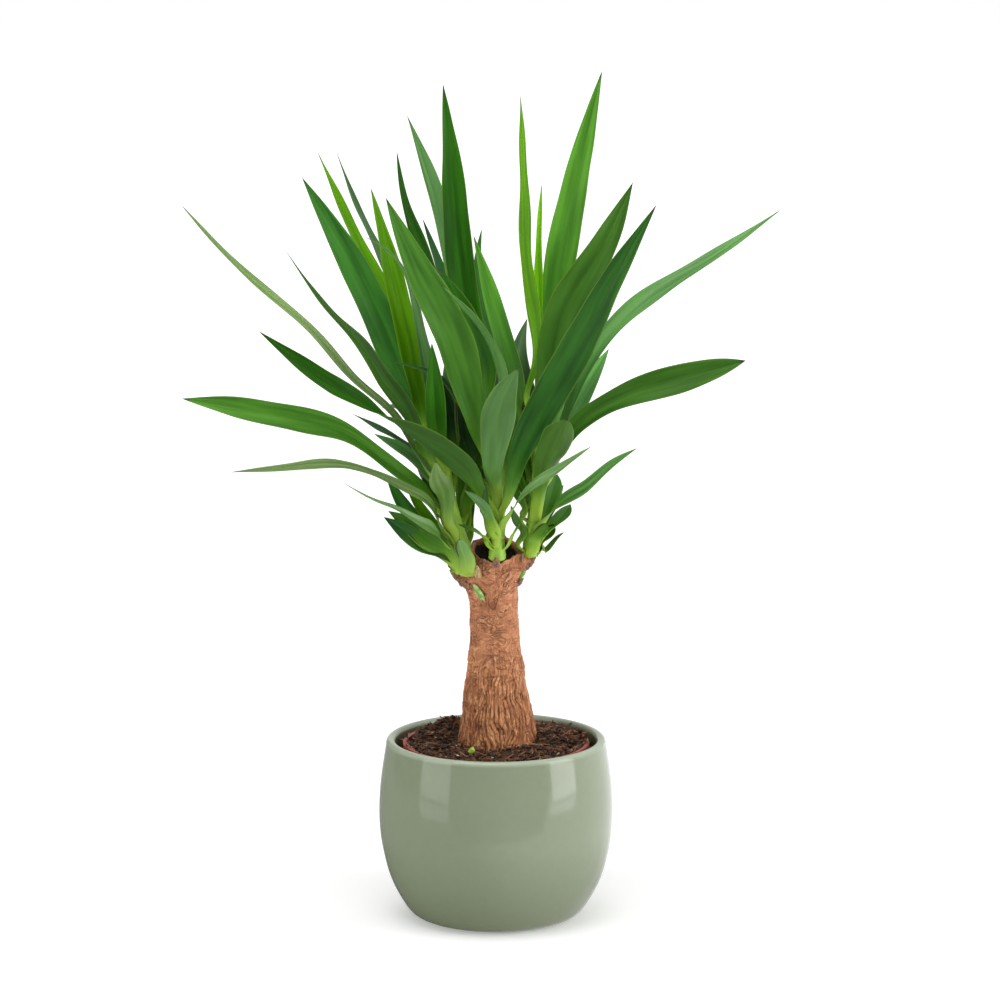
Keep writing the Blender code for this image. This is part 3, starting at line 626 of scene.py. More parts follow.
def cane_grid():
    """The cane as rows of points: up the bark, over the sawn rim and down into the hollow."""
    angle = np.arange(CANE_SIDES) * TURN / CANE_SIDES
    tilt = (CANE_TOP_BACK + CANE_TOP_FRONT) / 2 + (CANE_TOP_BACK - CANE_TOP_FRONT) / 2 * np.sin(angle)
    rim = tilt - 1.0 + 1.1 * lattice(angle / TURN * 14, angle * 0, 21, 14) + 0.5 * lattice(
        angle / TURN * 45, angle * 0, 22, 45)
    climb = np.linspace(0, 1, CANE_ROWS)[:, None]
    height = CANE_DENSE_FROM + (rim - CANE_DENSE_FROM) * climb
    relief, depth, tone = bark_relief(np.broadcast_to(angle, height.shape), height)
    calm = 1 - 0.7 * smooth_step(climb, 0.975, 1.0)
    radius = cane_girth(angle, height) + (relief - 0.9) * calm
    share, drop = np.array(CANE_HOLLOW).T[..., None]
    fibre = lattice(angle / TURN * 60 + 0 * share, share * 9, 23, 60)
    inner = radius[-1] * share * (1 + 0.03 * fibre * (share > 0.3))
    inner_height = rim - drop + 0.9 * fibre * smooth_step(share, 0.0, 0.4)
    inner_height = inner_height + (inner_height[-1].mean() - inner_height) * (share == 0)
    buried_radius, buried = np.array(CANE_BURIED).T[..., None] + 0 * angle
    height = np.vstack([buried, height, inner_height])
    radius = np.vstack([buried_radius, radius, inner])
    middle_x, middle_y = cane_middle(height)
    grid = np.stack([middle_x + radius * np.cos(angle), middle_y + radius * np.sin(angle), height], axis=-1)
    buried_marks, inner_marks = np.zeros((3, CANE_SIDES)), np.zeros((len(share), CANE_SIDES))
    hollow = np.vstack([buried_marks, 0 * relief, smooth_step(drop, 0.2, 3.5) + 0 * fibre])
    depth = np.vstack([buried_marks, depth * calm, inner_marks])
    tone = np.vstack([buried_marks, tone, inner_marks + 0.5 + 0.4 * fibre])
    return grid, np.stack([depth, tone, hollow], axis=-1)


def cane_bark(place):
    """Fibrous bark: light brown on the strips with a painted highlight on their crests, red-brown between,
    and painted shade in the grooves and pits.

    Towards the top, where the cane is young, the fibres run level and fade in calm patches.
    """
    depth, tone, hollow = mark(place, "bark")
    x, y, z = parts(place)
    patch = noise(place, 45.0, 3.0)
    speck = noise(place, 420.0, 2.0)
    age = ease(z * 1000 + 60 * (patch - 0.5), 160.0, 215.0)
    strand = noise(vector(x * 170, y * 170, z * 38), 1.0, 1.0, 0.5, 1.2)
    swirl = noise(vector(x * 62, y * 62, z * 105), 1.0, 1.0, 0.5, 1.8)
    calm = ease(noise(place, 75.0, 1.0), 0.40, 0.62) * age
    fibre = ridges(strand + (swirl - strand) * age, 5.0)
    colour = tint(tone, (0.235, 0.062, 0.021), (0.880, 0.400, 0.172))
    colour = tint(age * 0.45, colour, (0.600, 0.250, 0.125))
    colour = tint(ease(patch, 0.48, 0.66) * 0.55, colour, (0.200, 0.062, 0.022))
    colour = tint(ease(fibre, 0.60, 0.95) * (0.24 + 0.22 * age - 0.34 * calm), colour, (0.930, 0.530, 0.300))
    seam = (1 - ease(fibre, 0.08, 0.35)) * (0.24 + 0.20 * age - 0.32 * calm)
    colour = tint(seam, colour, (0.130, 0.038, 0.014))
    # Painted shade: grooves and pits are darkened by how deep they are.
    colour = tint(ease(depth, 0.10, 0.90) * 0.55, colour, (0.085, 0.027, 0.011))
    # The hollow is painted near black: dark pith plus painted shade inside the recess.
    colour = tint(hollow, colour, (0.020, 0.012, 0.009))
    colour = shade(colour, 0.78 + 0.40 * speck)
    skin = bump(fibre * (0.9 - 0.6 * calm) + speck * 0.2, 0.9, 1.3)
    return {"Base Color": colour, "Roughness": 0.55 + 0.35 * depth, "Specular IOR Level": 0.22,
            "Normal": skin}


cane_points, cane_marks = cane_grid()
bark = painted("cane_bark", cane_bark)
cane = grid_piece("yucca_cane", cane_points, bark, ["trunk"], {"bark": cane_marks})
print("cane:", len(cane.data.polygons), "faces")

# %% [markdown]
# ## The soil
#
# Potting mix is not smooth: it is crumbs of peat, shredded bark and a few pale grains.  The
# mound is a ring of points lifted by noise.  On it lie hundreds of small chips, each a box
# bent out of shape with only a few faces, turned and scaled at random from one seed.

# %% Heap the soil
SOIL_SIDES = 260
SOIL_EDGE = 66.4            # radius where the mound begins, and where it goes down beside the cane
SOIL_MIDDLE = 24.0
SOIL_EDGE_TOP = 128.5
SOIL_RISE = 8.0
SOIL_WALL_TOP = 118.0       # the soil lies against the pot's wall up to here
SOIL_CORE = (20.0, 100.0)   # radius and height of the soil's hollow round the cane
# Heaps on the soil: bearing in degrees, distance from the middle, height, size.
SOIL_HEAPS = [(142, 46, 11.0, 17), (8, 38, 6.0, 18), (40, 50, 3.0, 16)]


def soil_top(radius, angle):
    """Height of the soil: a low mound with shallow lumps and a few heaps."""
    share = 1 - radius / GROW_RIM_RADIUS
    lumps = 0.7 * np.sin(5 * angle + radius * 0.21) + 0.5 * np.sin(9 * angle - radius * 0.33)
    top = SOIL_EDGE_TOP + SOIL_RISE * share + lumps
    for bearing, distance, height, size in SOIL_HEAPS:
        off_x = radius * np.cos(angle) - distance * math.cos(math.radians(bearing))
        off_y = radius * np.sin(angle) - distance * math.sin(math.radians(bearing))
        top = top + height * np.exp(-(off_x ** 2 + off_y ** 2) / size ** 2)
    return top


def soil_grid():
    """The soil as rows of points: up the pot's wall, in over the mound, down beside the cane."""
    angle = np.arange(SOIL_SIDES) * TURN / SOIL_SIDES
    radius = np.linspace(SOIL_EDGE, SOIL_MIDDLE, 84)[:, None] + 0 * angle
    x, y = radius * np.cos(angle), radius * np.sin(angle)
    crumbs = 1.2 * np.abs(lattice(x / 4 + 90, y / 4 + 90, 31)) + 0.8 * lattice(x / 1.9 + 90, y / 1.9 + 90, 32)
    top = soil_top(radius, angle) + crumbs
    floor = POT_FLOOR + 2 * GAP + GROW_WALL
    clear = GROW_WALL + 2 * GAP
    wall_height = np.array([[floor], [floor], [SOIL_WALL_TOP]])
    wall_radius = grow_wall_radius(wall_height) - clear
    wall_radius[0] = 0.0
    core = np.array([[SOIL_CORE[0]], [0.0]])
    radius = np.vstack([wall_radius + 0 * angle, radius, core + 0 * angle])
    height = np.vstack([wall_height + 0 * angle, top, 0 * core + SOIL_CORE[1] + 0 * angle])
    return np.stack([radius * np.cos(angle), radius * np.sin(angle), height], axis=-1)


def peat_mix(place):
    """Damp peat: near black between red-brown fibres and a few pale grains."""
    crumb = noise(place, 260.0, 5.0, 0.65)
    fibre = noise(place, 120.0, 4.0, 0.6, 2.5)
    colour = tint(ease(crumb, 0.35, 0.62), (0.012, 0.007, 0.004), (0.070, 0.032, 0.014))
    colour = tint(ease(fibre, 0.55, 0.66) * 0.7, colour, (0.170, 0.070, 0.036))
    colour = tint(ease(noise(place, 700.0, 1.0), 0.74, 0.80), colour, (0.36, 0.24, 0.15))
    return {"Base Color": colour, "Roughness": 0.8 + 0.15 * crumb, "Normal": bump(crumb, 1.0, 1.6)}


soil = grid_piece("peat_mound", soil_grid(), painted("peat_mix", peat_mix), ["potting_soil"])
print("soil:", len(soil.data.polygons), "faces")

# %% Scatter chips, fibres and grains
LITTER_FROM, LITTER_TO = 33.0, 68.0    # distance from the middle
RIM_LITTER_FROM = 67.3                 # past this distance a chip lies on the nursery pot's rim
BOX_CORNERS = np.array([(-1, -1, -1), (1, -1, -1), (1, 1, -1), (-1, 1, -1), (-1, -1, 1), (1, -1, 1),
                        (1, 1, 1), (-1, 1, 1)]) / 2.0
BOX_SIDES = np.array([(3, 2, 1, 0), (4, 5, 6, 7), (0, 1, 5, 4), (1, 2, 6, 5), (2, 3, 7, 6), (3, 0, 4, 7)])


def turned_frames(dice, count, steepness):
    """Random directions for small pieces: a heading, a slope up to steepness, and a roll."""
    heading = dice.uniform(0, TURN, count)
    slope = dice.normal(0, steepness, count)
    roll = dice.normal(0, 0.5, count)
    east, north = np.cos(heading), np.sin(heading)
    ahead = np.stack([east * np.cos(slope), north * np.cos(slope), np.sin(slope)], axis=-1)
    level = np.stack([-north, east, 0 * heading], axis=-1)
    up = np.cross(ahead, level)
    side = level * np.cos(roll)[:, None] + up * np.sin(roll)[:, None]
    return ahead, side, np.cross(ahead, side)


def scattered(dice, count, low, high):
    """Lying chips as one mesh: spots spread evenly over a ring, each with a bent box."""
    radius = np.sqrt(dice.uniform(LITTER_FROM ** 2, LITTER_TO ** 2, count))
    angle = dice.uniform(0, TURN, count)
    size = dice.uniform(low, high, (count, 3))
    ahead, side, up = turned_frames(dice, count, 0.28)
    lift = dice.uniform(0.1, 0.9, count) * size[:, 2] + dice.uniform(0.3, 1.8, count)
    ground = np.where(radius > RIM_LITTER_FROM, GROW_TOP, soil_top(radius, angle))
    spot = np.stack([radius * np.cos(angle), radius * np.sin(angle), ground + lift], axis=-1)
    corner = BOX_CORNERS * size[:, None, :] * dice.uniform(0.55, 1.2, (count, 8, 1))
    taper = 1 - 0.6 * (corner[..., :1] / size[:, None, :1] + 0.5) * dice.uniform(0, 1, (count, 1, 1))
    corner[..., 1:] = corner[..., 1:] * taper
    points = (spot[:, None, :] + corner[..., :1] * ahead[:, None, :] + corner[..., 1:2] * side[:, None, :]
              + corner[..., 2:] * up[:, None, :])
    faces = BOX_SIDES + 8 * np.arange(count)[:, None, None]
    number = np.repeat(dice.random(count), 8)
    return points.reshape(-1, 3), faces.reshape(-1, 4), number


def chip_skin(place, dark, light, roughness):
    """Small pieces that each take their own shade between two colours."""
    number = place.node("ShaderNodeAttribute", {"attribute_name": "number"}, None, 2)
    streak = noise(place, 500.0, 3.0)
    colour = shade(tint(number ** 1.6, dark, light), 0.65 + 0.7 * streak)
    return {"Base Color": colour, "Roughness": roughness, "Normal": bump(streak, 0.7, 0.4)}


# Name, how many, least and greatest size, and the look: dark, light and roughness.
SCATTERINGS = [
    ("bark_chips", 700, (3.5, 1.4, 0.6), (10.0, 3.8, 1.6),
     ((0.026, 0.012, 0.006), (0.220, 0.085, 0.036), 0.7)),
    ("peat_crumbs", 700, (1.2, 1.0, 0.8), (3.6, 3.0, 2.4),
     ((0.014, 0.008, 0.004), (0.080, 0.036, 0.016), 0.85)),
    ("coir_fibres", 700, (6.0, 0.4, 0.4), (17.0, 1.1, 0.8),
     ((0.075, 0.028, 0.011), (0.400, 0.180, 0.080), 0.7)),
    ("pale_grains", 90, (1.0, 0.8, 0.5), (3.2, 2.0, 1.1),
     ((0.300, 0.200, 0.120), (0.750, 0.620, 0.460), 0.75)),
    ("pale_chips", 9, (4.0, 1.8, 0.6), (7.0, 3.2, 1.0),
     ((0.360, 0.220, 0.120), (0.700, 0.560, 0.360), 0.75)),
]


def scatter(seed, name, count, low, high, look):
    """One kind of chip, spread over the soil."""
    points, faces, number = scattered(np.random.default_rng(seed), count, np.array(low), np.array(high))
    skin = painted(name, chip_skin, *look)
    return add_piece(name, points, faces, skin, (), {"number": number}, 40)


for seed, row in enumerate(SCATTERINGS, start=41):
    made = scatter(seed, *row)
    print(made.name + ":", row[1], "pieces")

# %% [markdown]
# ## The shoots
#
# Each shoot is a soft green stem, cream at its foot, that old leaf bases have left ringed.  A
# tube carried along a smooth line does it: the radius shrinks upwards, and a saw-tooth makes a
# shallow step at every ring.

# %% Grow the shoots
SHOOTS = {
    "left": ([(-21, -10, 265), (-26, -11, 285), (-32, -10, 305), (-38, -8, 340), (-44, -6, 374)], 8.2, 4.0),
    "centre": ([(1, -16.5, 277), (1.3, -16, 295), (1.5, -15, 317), (-1, -13, 348), (-5, -10, 384)], 6.6, 3.6),
    "right": ([(25, -4, 277), (28, -4, 302), (31, -2, 330), (31, 0, 360), (30, 1, 386)], 6.0, 3.6),
}
SHOOT_BULB = {"left": 1.3, "centre": 4.0, "right": 1.2}      # how quickly each foot thins into the stem
RING_STEP = 8.0      # millimetres from one leaf scar to the next
RING_DEPTH = 0.55
SHOOT_ROWS = 96
SHOOT_SIDES = 40
SHOOT_DOME = np.array([0.0, 0.4, 0.75, 0.94])    # rings of the round ends, as shares of the radius


def shoot_radius(side, share):
    """Radius of a shoot: it falls from the foot's to the tip's as a power of what is left to climb."""
    _, foot_radius, top_radius = SHOOTS[side]
    return top_radius + (foot_radius - top_radius) * (1 - share) ** SHOOT_BULB[side]


def shoot_middle(side, height):
    """Middle of a shoot at a height as (x, y), and its radius there."""
    line = SHOOTS[side][0]
    curve = smooth_through(line, 24)
    place = np.array([np.interp(height, curve[:, 2], curve[:, axis]) for axis in (0, 1)])
    return place, shoot_radius(side, np.clip((height - line[0][2]) / (line[-1][2] - line[0][2]), 0, 1))


def shoot_grid(side):
    """A shoot as rows of points: a round foot, the ringed stem and a round tip."""
    curve = smooth_through(SHOOTS[side][0], SHOOT_ROWS)
    radius = shoot_radius(side, np.linspace(0, 1, SHOOT_ROWS))
    angle = np.arange(SHOOT_SIDES) * TURN / SHOOT_SIDES
    flat = np.stack([np.cos(angle), np.sin(angle), 0 * angle], axis=-1)
    rise = curve[:, 2:] + 2.5 * np.sin(angle + curve[:, 2:] * 0.9)
    step = RING_DEPTH * (rise / RING_STEP % 1.0) ** 2
    stem = curve[:, None, :] + (radius[:, None] - 0.3 + step)[..., None] * flat
    ends = []
    for end, dome, reach in ((0, SHOOT_DOME, -0.5), (-1, SHOOT_DOME[::-1], 0.8)):
        cap = curve[end] + radius[end] * dome[:, None, None] * flat
        cap[..., 2] += (radius[end] * reach * np.sqrt(1 - dome ** 2))[:, None]
        ends.append(cap)
    return np.concatenate([ends[0], stem, ends[1]])


def shoot_green(place):
    """Young stem: cream at the foot, then yellow-green, with faint lengthwise streaks."""
    x, y, z = parts(place)
    streak = noise(vector(x * 1000, y * 1000, z * 60), 0.9, 3.0)
    patch = noise(place, 70.0, 3.0)
    height = z * 1000 + 14 * patch
    colour = tint(streak, (0.200, 0.420, 0.018), (0.340, 0.560, 0.050))
    colour = tint((1 - ease(height, 262.0, 285.0)) * 0.8, colour, (0.560, 0.640, 0.200))
    colour = tint(ease(height, 330.0, 372.0), colour, (0.060, 0.200, 0.015))
    return {"Base Color": colour, "Roughness": 0.34 + 0.12 * patch, "Normal": bump(streak, 0.4, 0.4)}


stem_green = painted("shoot_green", shoot_green)
for side in SHOOTS:
    grid_piece("shoot_" + side, shoot_grid(side), stem_green, ["stem_" + side])
print("shoots:", ", ".join(SHOOTS))

# %% [markdown]
# ## The leaves
#
# A yucca leaf clasps its shoot with a pale sheath, narrows to a neck, widens to a strap and
# ends in a brown needle.  It is stiff and slightly channelled, and its margins wander a little.
# A flat strip with a leaf outline would look like paper, so each leaf is a closed shell: its
# cross-section is bent round the shoot at the foot and opens into a shallow V further out.
# The rows say where each leaf goes; the formula below is the same for all of them.

# %% The rows of leaves
# Height at which the leaf leaves the shoot, width, how far the blade is turned away from facing
# the front (degrees at the foot and at the tip), tone, and the places of its middle line.
LEFT_LEAVES = [
    (266, 16, 30, 30, "slate", [(-39, -12, 274), (-57, -18, 289), (-83, -26, 309)]),
    (277, 10, 45, 45, "grey", [(-44, -24, 297), (-58, -38, 309), (-73, -50, 320), (-85, -58, 326),
                               (-112, -75, 344)]),
    (283, 14, 40, 40, "slate", [(-47, 6, 290), (-68, 24, 307), (-83, 40, 329)]),
    (292, 9, 45, 60, "olive", [(-48, -20, 317), (-63, -32, 330), (-81, -45, 341), (-111, -62, 354),
                               (-142, -80, 356), (-191, -100, 355)]),
    (298, 16, 170, 200, "olive", [(-37, -20, 316), (-42, -46, 340), (-44, -70, 358)]),
    (300, 20, 20, 10, "mid", [(-43, 20, 318), (-52, 70, 330), (-60, 120, 325)]),
    (307, 21, 35, 35, "mid", [(-53, -10, 325), (-70, -15, 340), (-91, -22, 358), (-112, -28, 373),
                              (-144, -36, 383), (-187, -45, 393), (-229, -50, 401)]),
    (313, 12, 65, 75, "slate", [(-48, 26, 336), (-70, 62, 350), (-111, 112, 365)]),
    (320, 13, 45, 50, "teal", [(-48, 5, 331), (-64, 31, 345), (-93, 70, 356)]),
    (330, 21, 25, 10, "deep", [(-46, 34, 356), (-68, 97, 372), (-90, 170, 360)]),
    (330, 8, 50, 50, "bright", [(-74, -25, 384), (-103, -31, 412), (-131, -40, 446), (-178, -52, 490),
                                (-227, -60, 544)]),
    (338, 15, 30, 60, "mid", [(-66, -33, 391), (-81, -42, 412), (-94, -53, 436), (-113, -68, 460),
                              (-133, -83, 487), (-150, -95, 515)]),
    (342, 16, 15, 20, "deep", [(-43, -38, 377), (-45, -62, 413), (-46, -86, 447)]),
    (341, 22, 10, 0, "teal", [(-34, 42, 368), (-28, 125, 408), (-25, 215, 398)]),
    (347, 13, 30, 60, "slate", [(-44, -24, 378), (-53, -22, 433), (-62, -30, 478), (-73, -34, 502),
                                (-97, -38, 519)]),
    (352, 25, 20, 15, "teal", [(-58, 0, 382), (-71, 13, 413), (-94, 23, 465), (-117, 28, 509),
                               (-144, 30, 555)]),
    (358, 16, 55, 70, "grey", [(-60, 50, 420), (-91, 120, 491), (-110, 147, 528), (-124, 170, 562)]),
    (364, 18, 25, 30, "bright", [(-55, -14, 384), (-66, -19, 444), (-78, -24, 500), (-91, -30, 553)]),
    (370, 18, 50, 60, "bright", [(-53, 26, 405), (-81, 61, 456), (-109, 87, 510), (-136, 110, 567)]),
]
CENTRE_LEAVES = [
    (296, 9, 45, 50, "grey", [(-3, -32, 306), (-8, -54, 320), (-23, -95, 341)]),
    (302, 9, -50, -60, "olive", [(14, -30, 318), (36, -63, 345), (68, -120, 377)]),
    (306, 20, -10, 0, "deep", [(3, 20, 322), (2, 85, 345), (0, 150, 330)]),
    (313, 26, -10, -20, "teal", [(12, -26, 334), (20, -46, 366), (56, -82, 438), (81, -101, 490),
                                 (114, -110, 549)]),
    (330, 19, 160, 170, "teal", [(5, -26, 346), (12, -31, 367), (15, -38, 389)]),
    (324, 25, 180, 180, "grey", [(-2, -43, 343), (-1, -68, 370), (3, -97, 401), (16, -135, 436)]),
    (329, 21, 20, 10, "slate", [(-13, 21, 346), (-26, 59, 368), (-34, 95, 387)]),
    (311, 18, 150, 30, "deep", [(-12, -33, 328), (-21, -50, 347), (-42, -60, 367), (-75, -66, 388),
                                (-128, -77, 422), (-171, -75, 454)]),
    (341, 23, 5, -5, "teal", [(-2, 30, 375), (-4, 130, 405), (-5, 230, 385)]),
    (346, 27, 8, 5, "mid", [(-14, -25, 378), (-20, -33, 405), (-33, -45, 451), (-49, -53, 483),
                            (-79, -70, 550)]),
    (351, 18, 40, 45, "slate", [(-16, 40, 390), (-24, 77, 419), (-42, 121, 474), (-57, 150, 512)]),
    (356, 16, 125, 120, "grey", [(5, -30, 390), (-2, -42, 436), (-19, -51, 463), (-40, -60, 486)]),
    (360, 20, 30, 30, "grey", [(-16, 32, 410), (-36, 80, 503), (-48, 98, 543), (-68, 120, 594)]),
    (367, 18, 40, 50, "deep", [(-23, 13, 397), (-54, 60, 490), (-68, 73, 530), (-75, 85, 570)]),
    (373, 20, 35, 40, "deep", [(-9, -14, 400), (-19, -11, 450), (-41, -10, 492)]),
    (381, 22, 10, 15, "deep", [(-9, 4, 400), (-24, 12, 473), (-31, 18, 543), (-39, 20, 625)]),
]
RIGHT_LEAVES = [
    (285, 12, -30, -30, "grey", [(41, 6, 295), (49, 13, 302), (56, 22, 310)]),
    (291, 14, -10, -10, "grey", [(36, 9, 303), (41, 13, 317), (46, 15, 334)]),
    (297, 11, -45, -50, "grey", [(47, -25, 319), (65, -48, 335), (84, -72, 356), (102, -90, 371)]),
    (306, 20, -20, -10, "deep", [(30, 21, 326), (41, 90, 350), (52, 165, 355)]),
    (313, 22, 180, 180, "mid", [(34, -28, 338), (41, -70, 368), (51, -120, 397)]),
    (323, 18, 20, 20, "slate", [(28, 20, 338), (21, 55, 361), (18, 95, 390)]),
    (328, 24, -40, -35, "mid", [(49, -10, 358), (85, -22, 394), (135, -36, 413), (182, -50, 429)]),
    (333, 22, -20, -10, "mid", [(42, 30, 362), (54, 115, 398), (62, 200, 400)]),
    (337, 18, -20, -20, "grey", [(48, 15, 363), (67, 34, 396), (85, 50, 424)]),
    (344, 18, -20, -15, "grey", [(26, 48, 376), (18, 96, 417), (24, 120, 438)]),
    (350, 17, -45, -55, "grey", [(66, 20, 412), (104, 35, 457), (157, 51, 490), (215, 70, 527)]),
    (354, 19, 30, 35, "mid", [(20, 15, 375), (12, 31, 407), (-1, 51, 453), (-17, 75, 507)]),
    (363, 29, -8, -12, "mid", [(39, -14, 391), (52, -15, 461), (75, -15, 502), (100, -20, 556)]),
    (369, 24, -12, -15, "bright", [(38, 22, 400), (47, 45, 479), (61, 70, 553), (80, 90, 630)]),
    (376, 16, -60, -60, "bright", [(33, 16, 412), (32, 26, 475), (34, 42, 549)]),
    (383, 19, 55, 60, "bright", [(27, 3, 414), (24, 7, 474), (20, 11, 547), (18, 15, 617)]),
]
print("leaves:", len(LEFT_LEAVES), len(CENTRE_LEAVES), len(RIGHT_LEAVES))

# %% Bend one leaf
LEAF_SEAT_CLEARANCE = 0.6    # between the blade and its shoot
LEAF_HEEL = (4.5, 3.5)       # where the blade leaves the shoot: how far out, and how far up
LEAF_CLASP = 45.0            # along the blade, until it no longer bends round the shoot
LEAF_FOLD = 0.14             # depth of the V, as a part of half the width
LEAF_BACKWARD = 0.75         # a blade that points further back than this shows its upper side
LEAF_COLUMNS = 10
LEAF_STATIONS = 84
YOUNG_STATIONS = 48
# Outline of a leaf: where it starts to widen, where it is widest, the power of its fall to
# the tip (more is blunter), and the width of its neck as a part of the greatest.
LEAF_OUTLINE = (0.0, 0.45, 2.0, 0.38)
# A sheath: how far it reaches down the shoot, and how proud of it it starts.
OLD_SHEATH = (11.0, 0.2)
YOUNG_SHEATH = (4.0, -1.8)
SHEATH_REACH = 22.0          # along the blade, until the sheath has thinned into the neck
SHEATH_WRAP = 1.15           # half its width, as a part of the shoot's radius
SHEATH_WIDTH = 0.55          # and at most this part of the blade's width
BLADE_THICKNESS = 0.75


def leaf_shape(share, outline):
    """Width along a blade, from 0 at the foot to 1 at the tip, as a part of the greatest.

    It rises smoothly from the neck to the widest place, then falls as a power of the rest.
    """
    start, widest, point, neck = outline
    fall = np.clip((share - widest) / (1 - widest), 0, 1)
    return neck + (1 - neck) * smooth_step(share, start, widest) - fall ** point


def leaf_line(side, seat, route, stations, sheath):
    """Middle line of a leaf, from its sheath on the shoot through the places of its route,
    and how far each point lies past the place where the blade leaves the shoot.
    """
    middle, radius = shoot_middle(side, seat)
    away = unit(np.array(route[0][:2], dtype=float) - middle)
    stand_off = radius + LEAF_SEAT_CLEARANCE
    heel = (*(middle + away * (stand_off + LEAF_HEEL[0])), seat + LEAF_HEEL[1])
    length, proud = sheath
    low = max(seat - length, SHOOTS[side][0][0][2] - 2.0)
    low_middle, low_radius = shoot_middle(side, low)
    start = (*(low_middle + away * (low_radius + proud)), low)
    foot = (*(middle + away * (stand_off + 0.6)), max(seat - 2.0, low + 1.5))
    line = smooth_through([start, foot, heel, *route], stations)
    along = np.concatenate(([0.0], np.cumsum(np.linalg.norm(np.diff(line, axis=0), axis=1))))
    return line, along - (foot[2] + 2.0 - low), away


def leaf_frame(line, along, away, twist):
    """Directions along, across and up from the blade at each point of its line.

    At the foot the blade lies flat against the shoot; over the clasp it turns to its own set.
    The twist lists how far it is turned, in degrees, at places from foot to tip.
    """
    ahead = unit(np.gradient(line, along, axis=0))
    share = np.clip(along / along[-1], 0, 1)
    backward = np.clip((ahead[:, 1:2] - LEAF_BACKWARD) / (1 - LEAF_BACKWARD), 0, 1)
    facing = np.array([0.0, -1.0, 0.0]) + backward * (0.0, 0.0, 1.0)
    facing = unit(facing - ahead * np.sum(facing * ahead, axis=1)[:, None])
    turn = np.radians(np.interp(share, *np.transpose(twist)))[:, None]
    turned_across = np.cross(ahead, facing * np.cos(turn) + np.cross(ahead, facing) * np.sin(turn))
    free = smooth_step(along, 0, LEAF_CLASP)[:, None]
    at_heel = np.searchsorted(along, 6.0)
    clasp = np.cross((0.0, 0.0, 1.0), (*away, 0.0))
    clasp = clasp * np.sign(turned_across[at_heel] @ clasp)
    across = clasp * (1 - free) + turned_across * free
    across = unit(across - ahead * np.sum(across * ahead, axis=1)[:, None])
    return ahead, across, np.cross(across, ahead), free[:, 0]


def leaf_grid(side, row, seed, outline=LEAF_OUTLINE, twist=None, light=1.0, stations=LEAF_STATIONS,
              sheath=OLD_SHEATH):
    """A leaf as rows of points round a thin section, and the marks that its material reads.

    Across the leaf u runs from -1 to 1 on the upper side and back on the lower side.  The
    section is an arc towards the shoot whose curvature fades with the clasp, plus a V, plus
    waves that grow towards the margins.
    """
    seat, width, turn_foot, turn_tip, _, route = row
    line, along, away = leaf_line(side, seat, route, stations, sheath)
    twist = twist or [(0, turn_foot), (1, turn_tip)]
    ahead, across, upper, free = leaf_frame(line, along, away, twist)
    share = np.clip(along / along[-1], 0, 1)
    dice = np.random.default_rng(seed)
    phase = dice.uniform(0, 200, 4)
    shape = leaf_shape(share, outline)
    radius = shoot_middle(side, seat)[1]
    wrap = (1 - smooth_step(along, 0, SHEATH_REACH)) * smooth_step(along, -sheath[0] * 1.4, -2)
    wrap_width = min(SHEATH_WRAP * radius, SHEATH_WIDTH * width)
    half = shape * width / 2 + (wrap_width - outline[3] * width / 2) * wrap
    swing = np.linspace(0, math.pi, LEAF_COLUMNS + 1)
    u = np.concatenate([-np.cos(swing), np.cos(swing[1:-1])])
    lower = np.concatenate([np.zeros(LEAF_COLUMNS + 1), np.ones(LEAF_COLUMNS - 1)])
    wander = 0.05 * u * lattice(along[:, None] / 24 + phase[0] + 9 * (u > 0), 0 * u + phase[1], seed)
    reach = u * half[:, None] * (1 + wander * np.sign(u))
    curve = ((1 - free) / (radius + 1.0))[:, None] + 1e-6
    inward = -np.array([*away, 0.0])
    level = np.sum(across * inward, axis=1)[:, None]
    inward = unit(inward - ahead * (ahead @ inward)[:, None] - across * level)
    bow = np.sin(curve * reach) / curve
    sink = (1 - np.cos(curve * reach)) / curve
    keel = free * (0.85 + 0.5 * (1 - share)) * half * LEAF_FOLD
    fold = keel[:, None] * (2 * np.abs(u) ** 1.25 - 1)
    calm = free * np.clip(shape * 1.3, 0, 1)
    wave = 0.045 * width * calm[:, None] * u ** 2 * np.sin(
        along[:, None] / dice.uniform(8, 13) + phase[2] + np.where(u > 0, 2.1, 0.0))
    ripple = 0.10 * reach * calm[:, None] * lattice(along / 45 + phase[3], 0 * along, seed + 500)[:, None]
    body = np.sqrt(np.clip(1 - u ** 2, 0, 1)) * 0.75 + 0.25 * (np.abs(u) < 1)
    thick = BLADE_THICKNESS * (0.35 + 0.65 * np.clip(shape, 0, 1) + 0.4 * (1 - free))[:, None] * body
    lift = fold + wave + ripple + thick * (0.5 - lower)
    points = (line[:, None, :] + across[:, None, :] * bow[..., None] + inward[:, None, :] * sink[..., None]
              + upper[:, None, :] * lift[..., None])
    points[-1] = line[-1]
    points = np.concatenate([points[:1] * 0 + points[0].mean(axis=0), points])
    blade = np.stack(np.broadcast_arrays(u, share[:, None], along[:, None] / 100), axis=-1)
    leaf = np.stack(np.broadcast_arrays(lower, light, phase[0] + 0 * share[:, None]), axis=-1)
    return points, {"blade": np.concatenate([blade[:1], blade]), "leaf": np.concatenate([leaf[:1], leaf])}


print("a leaf has", leaf_grid("left", LEFT_LEAVES[6], 1)[0].shape, "points")

# %% [markdown]
# ## Leaf green
#
# No two leaves of the plant have the same green: young ones are yellow-green, old ones deep or
# bluish, and those seen from below are dull.  One function therefore makes a material for each
# tone.  It follows the blade, so its streaks run lengthwise whichever way the leaf points: a
# paler midrib, thin pale margins, a yellow-green sheath and a brown needle at the tip.

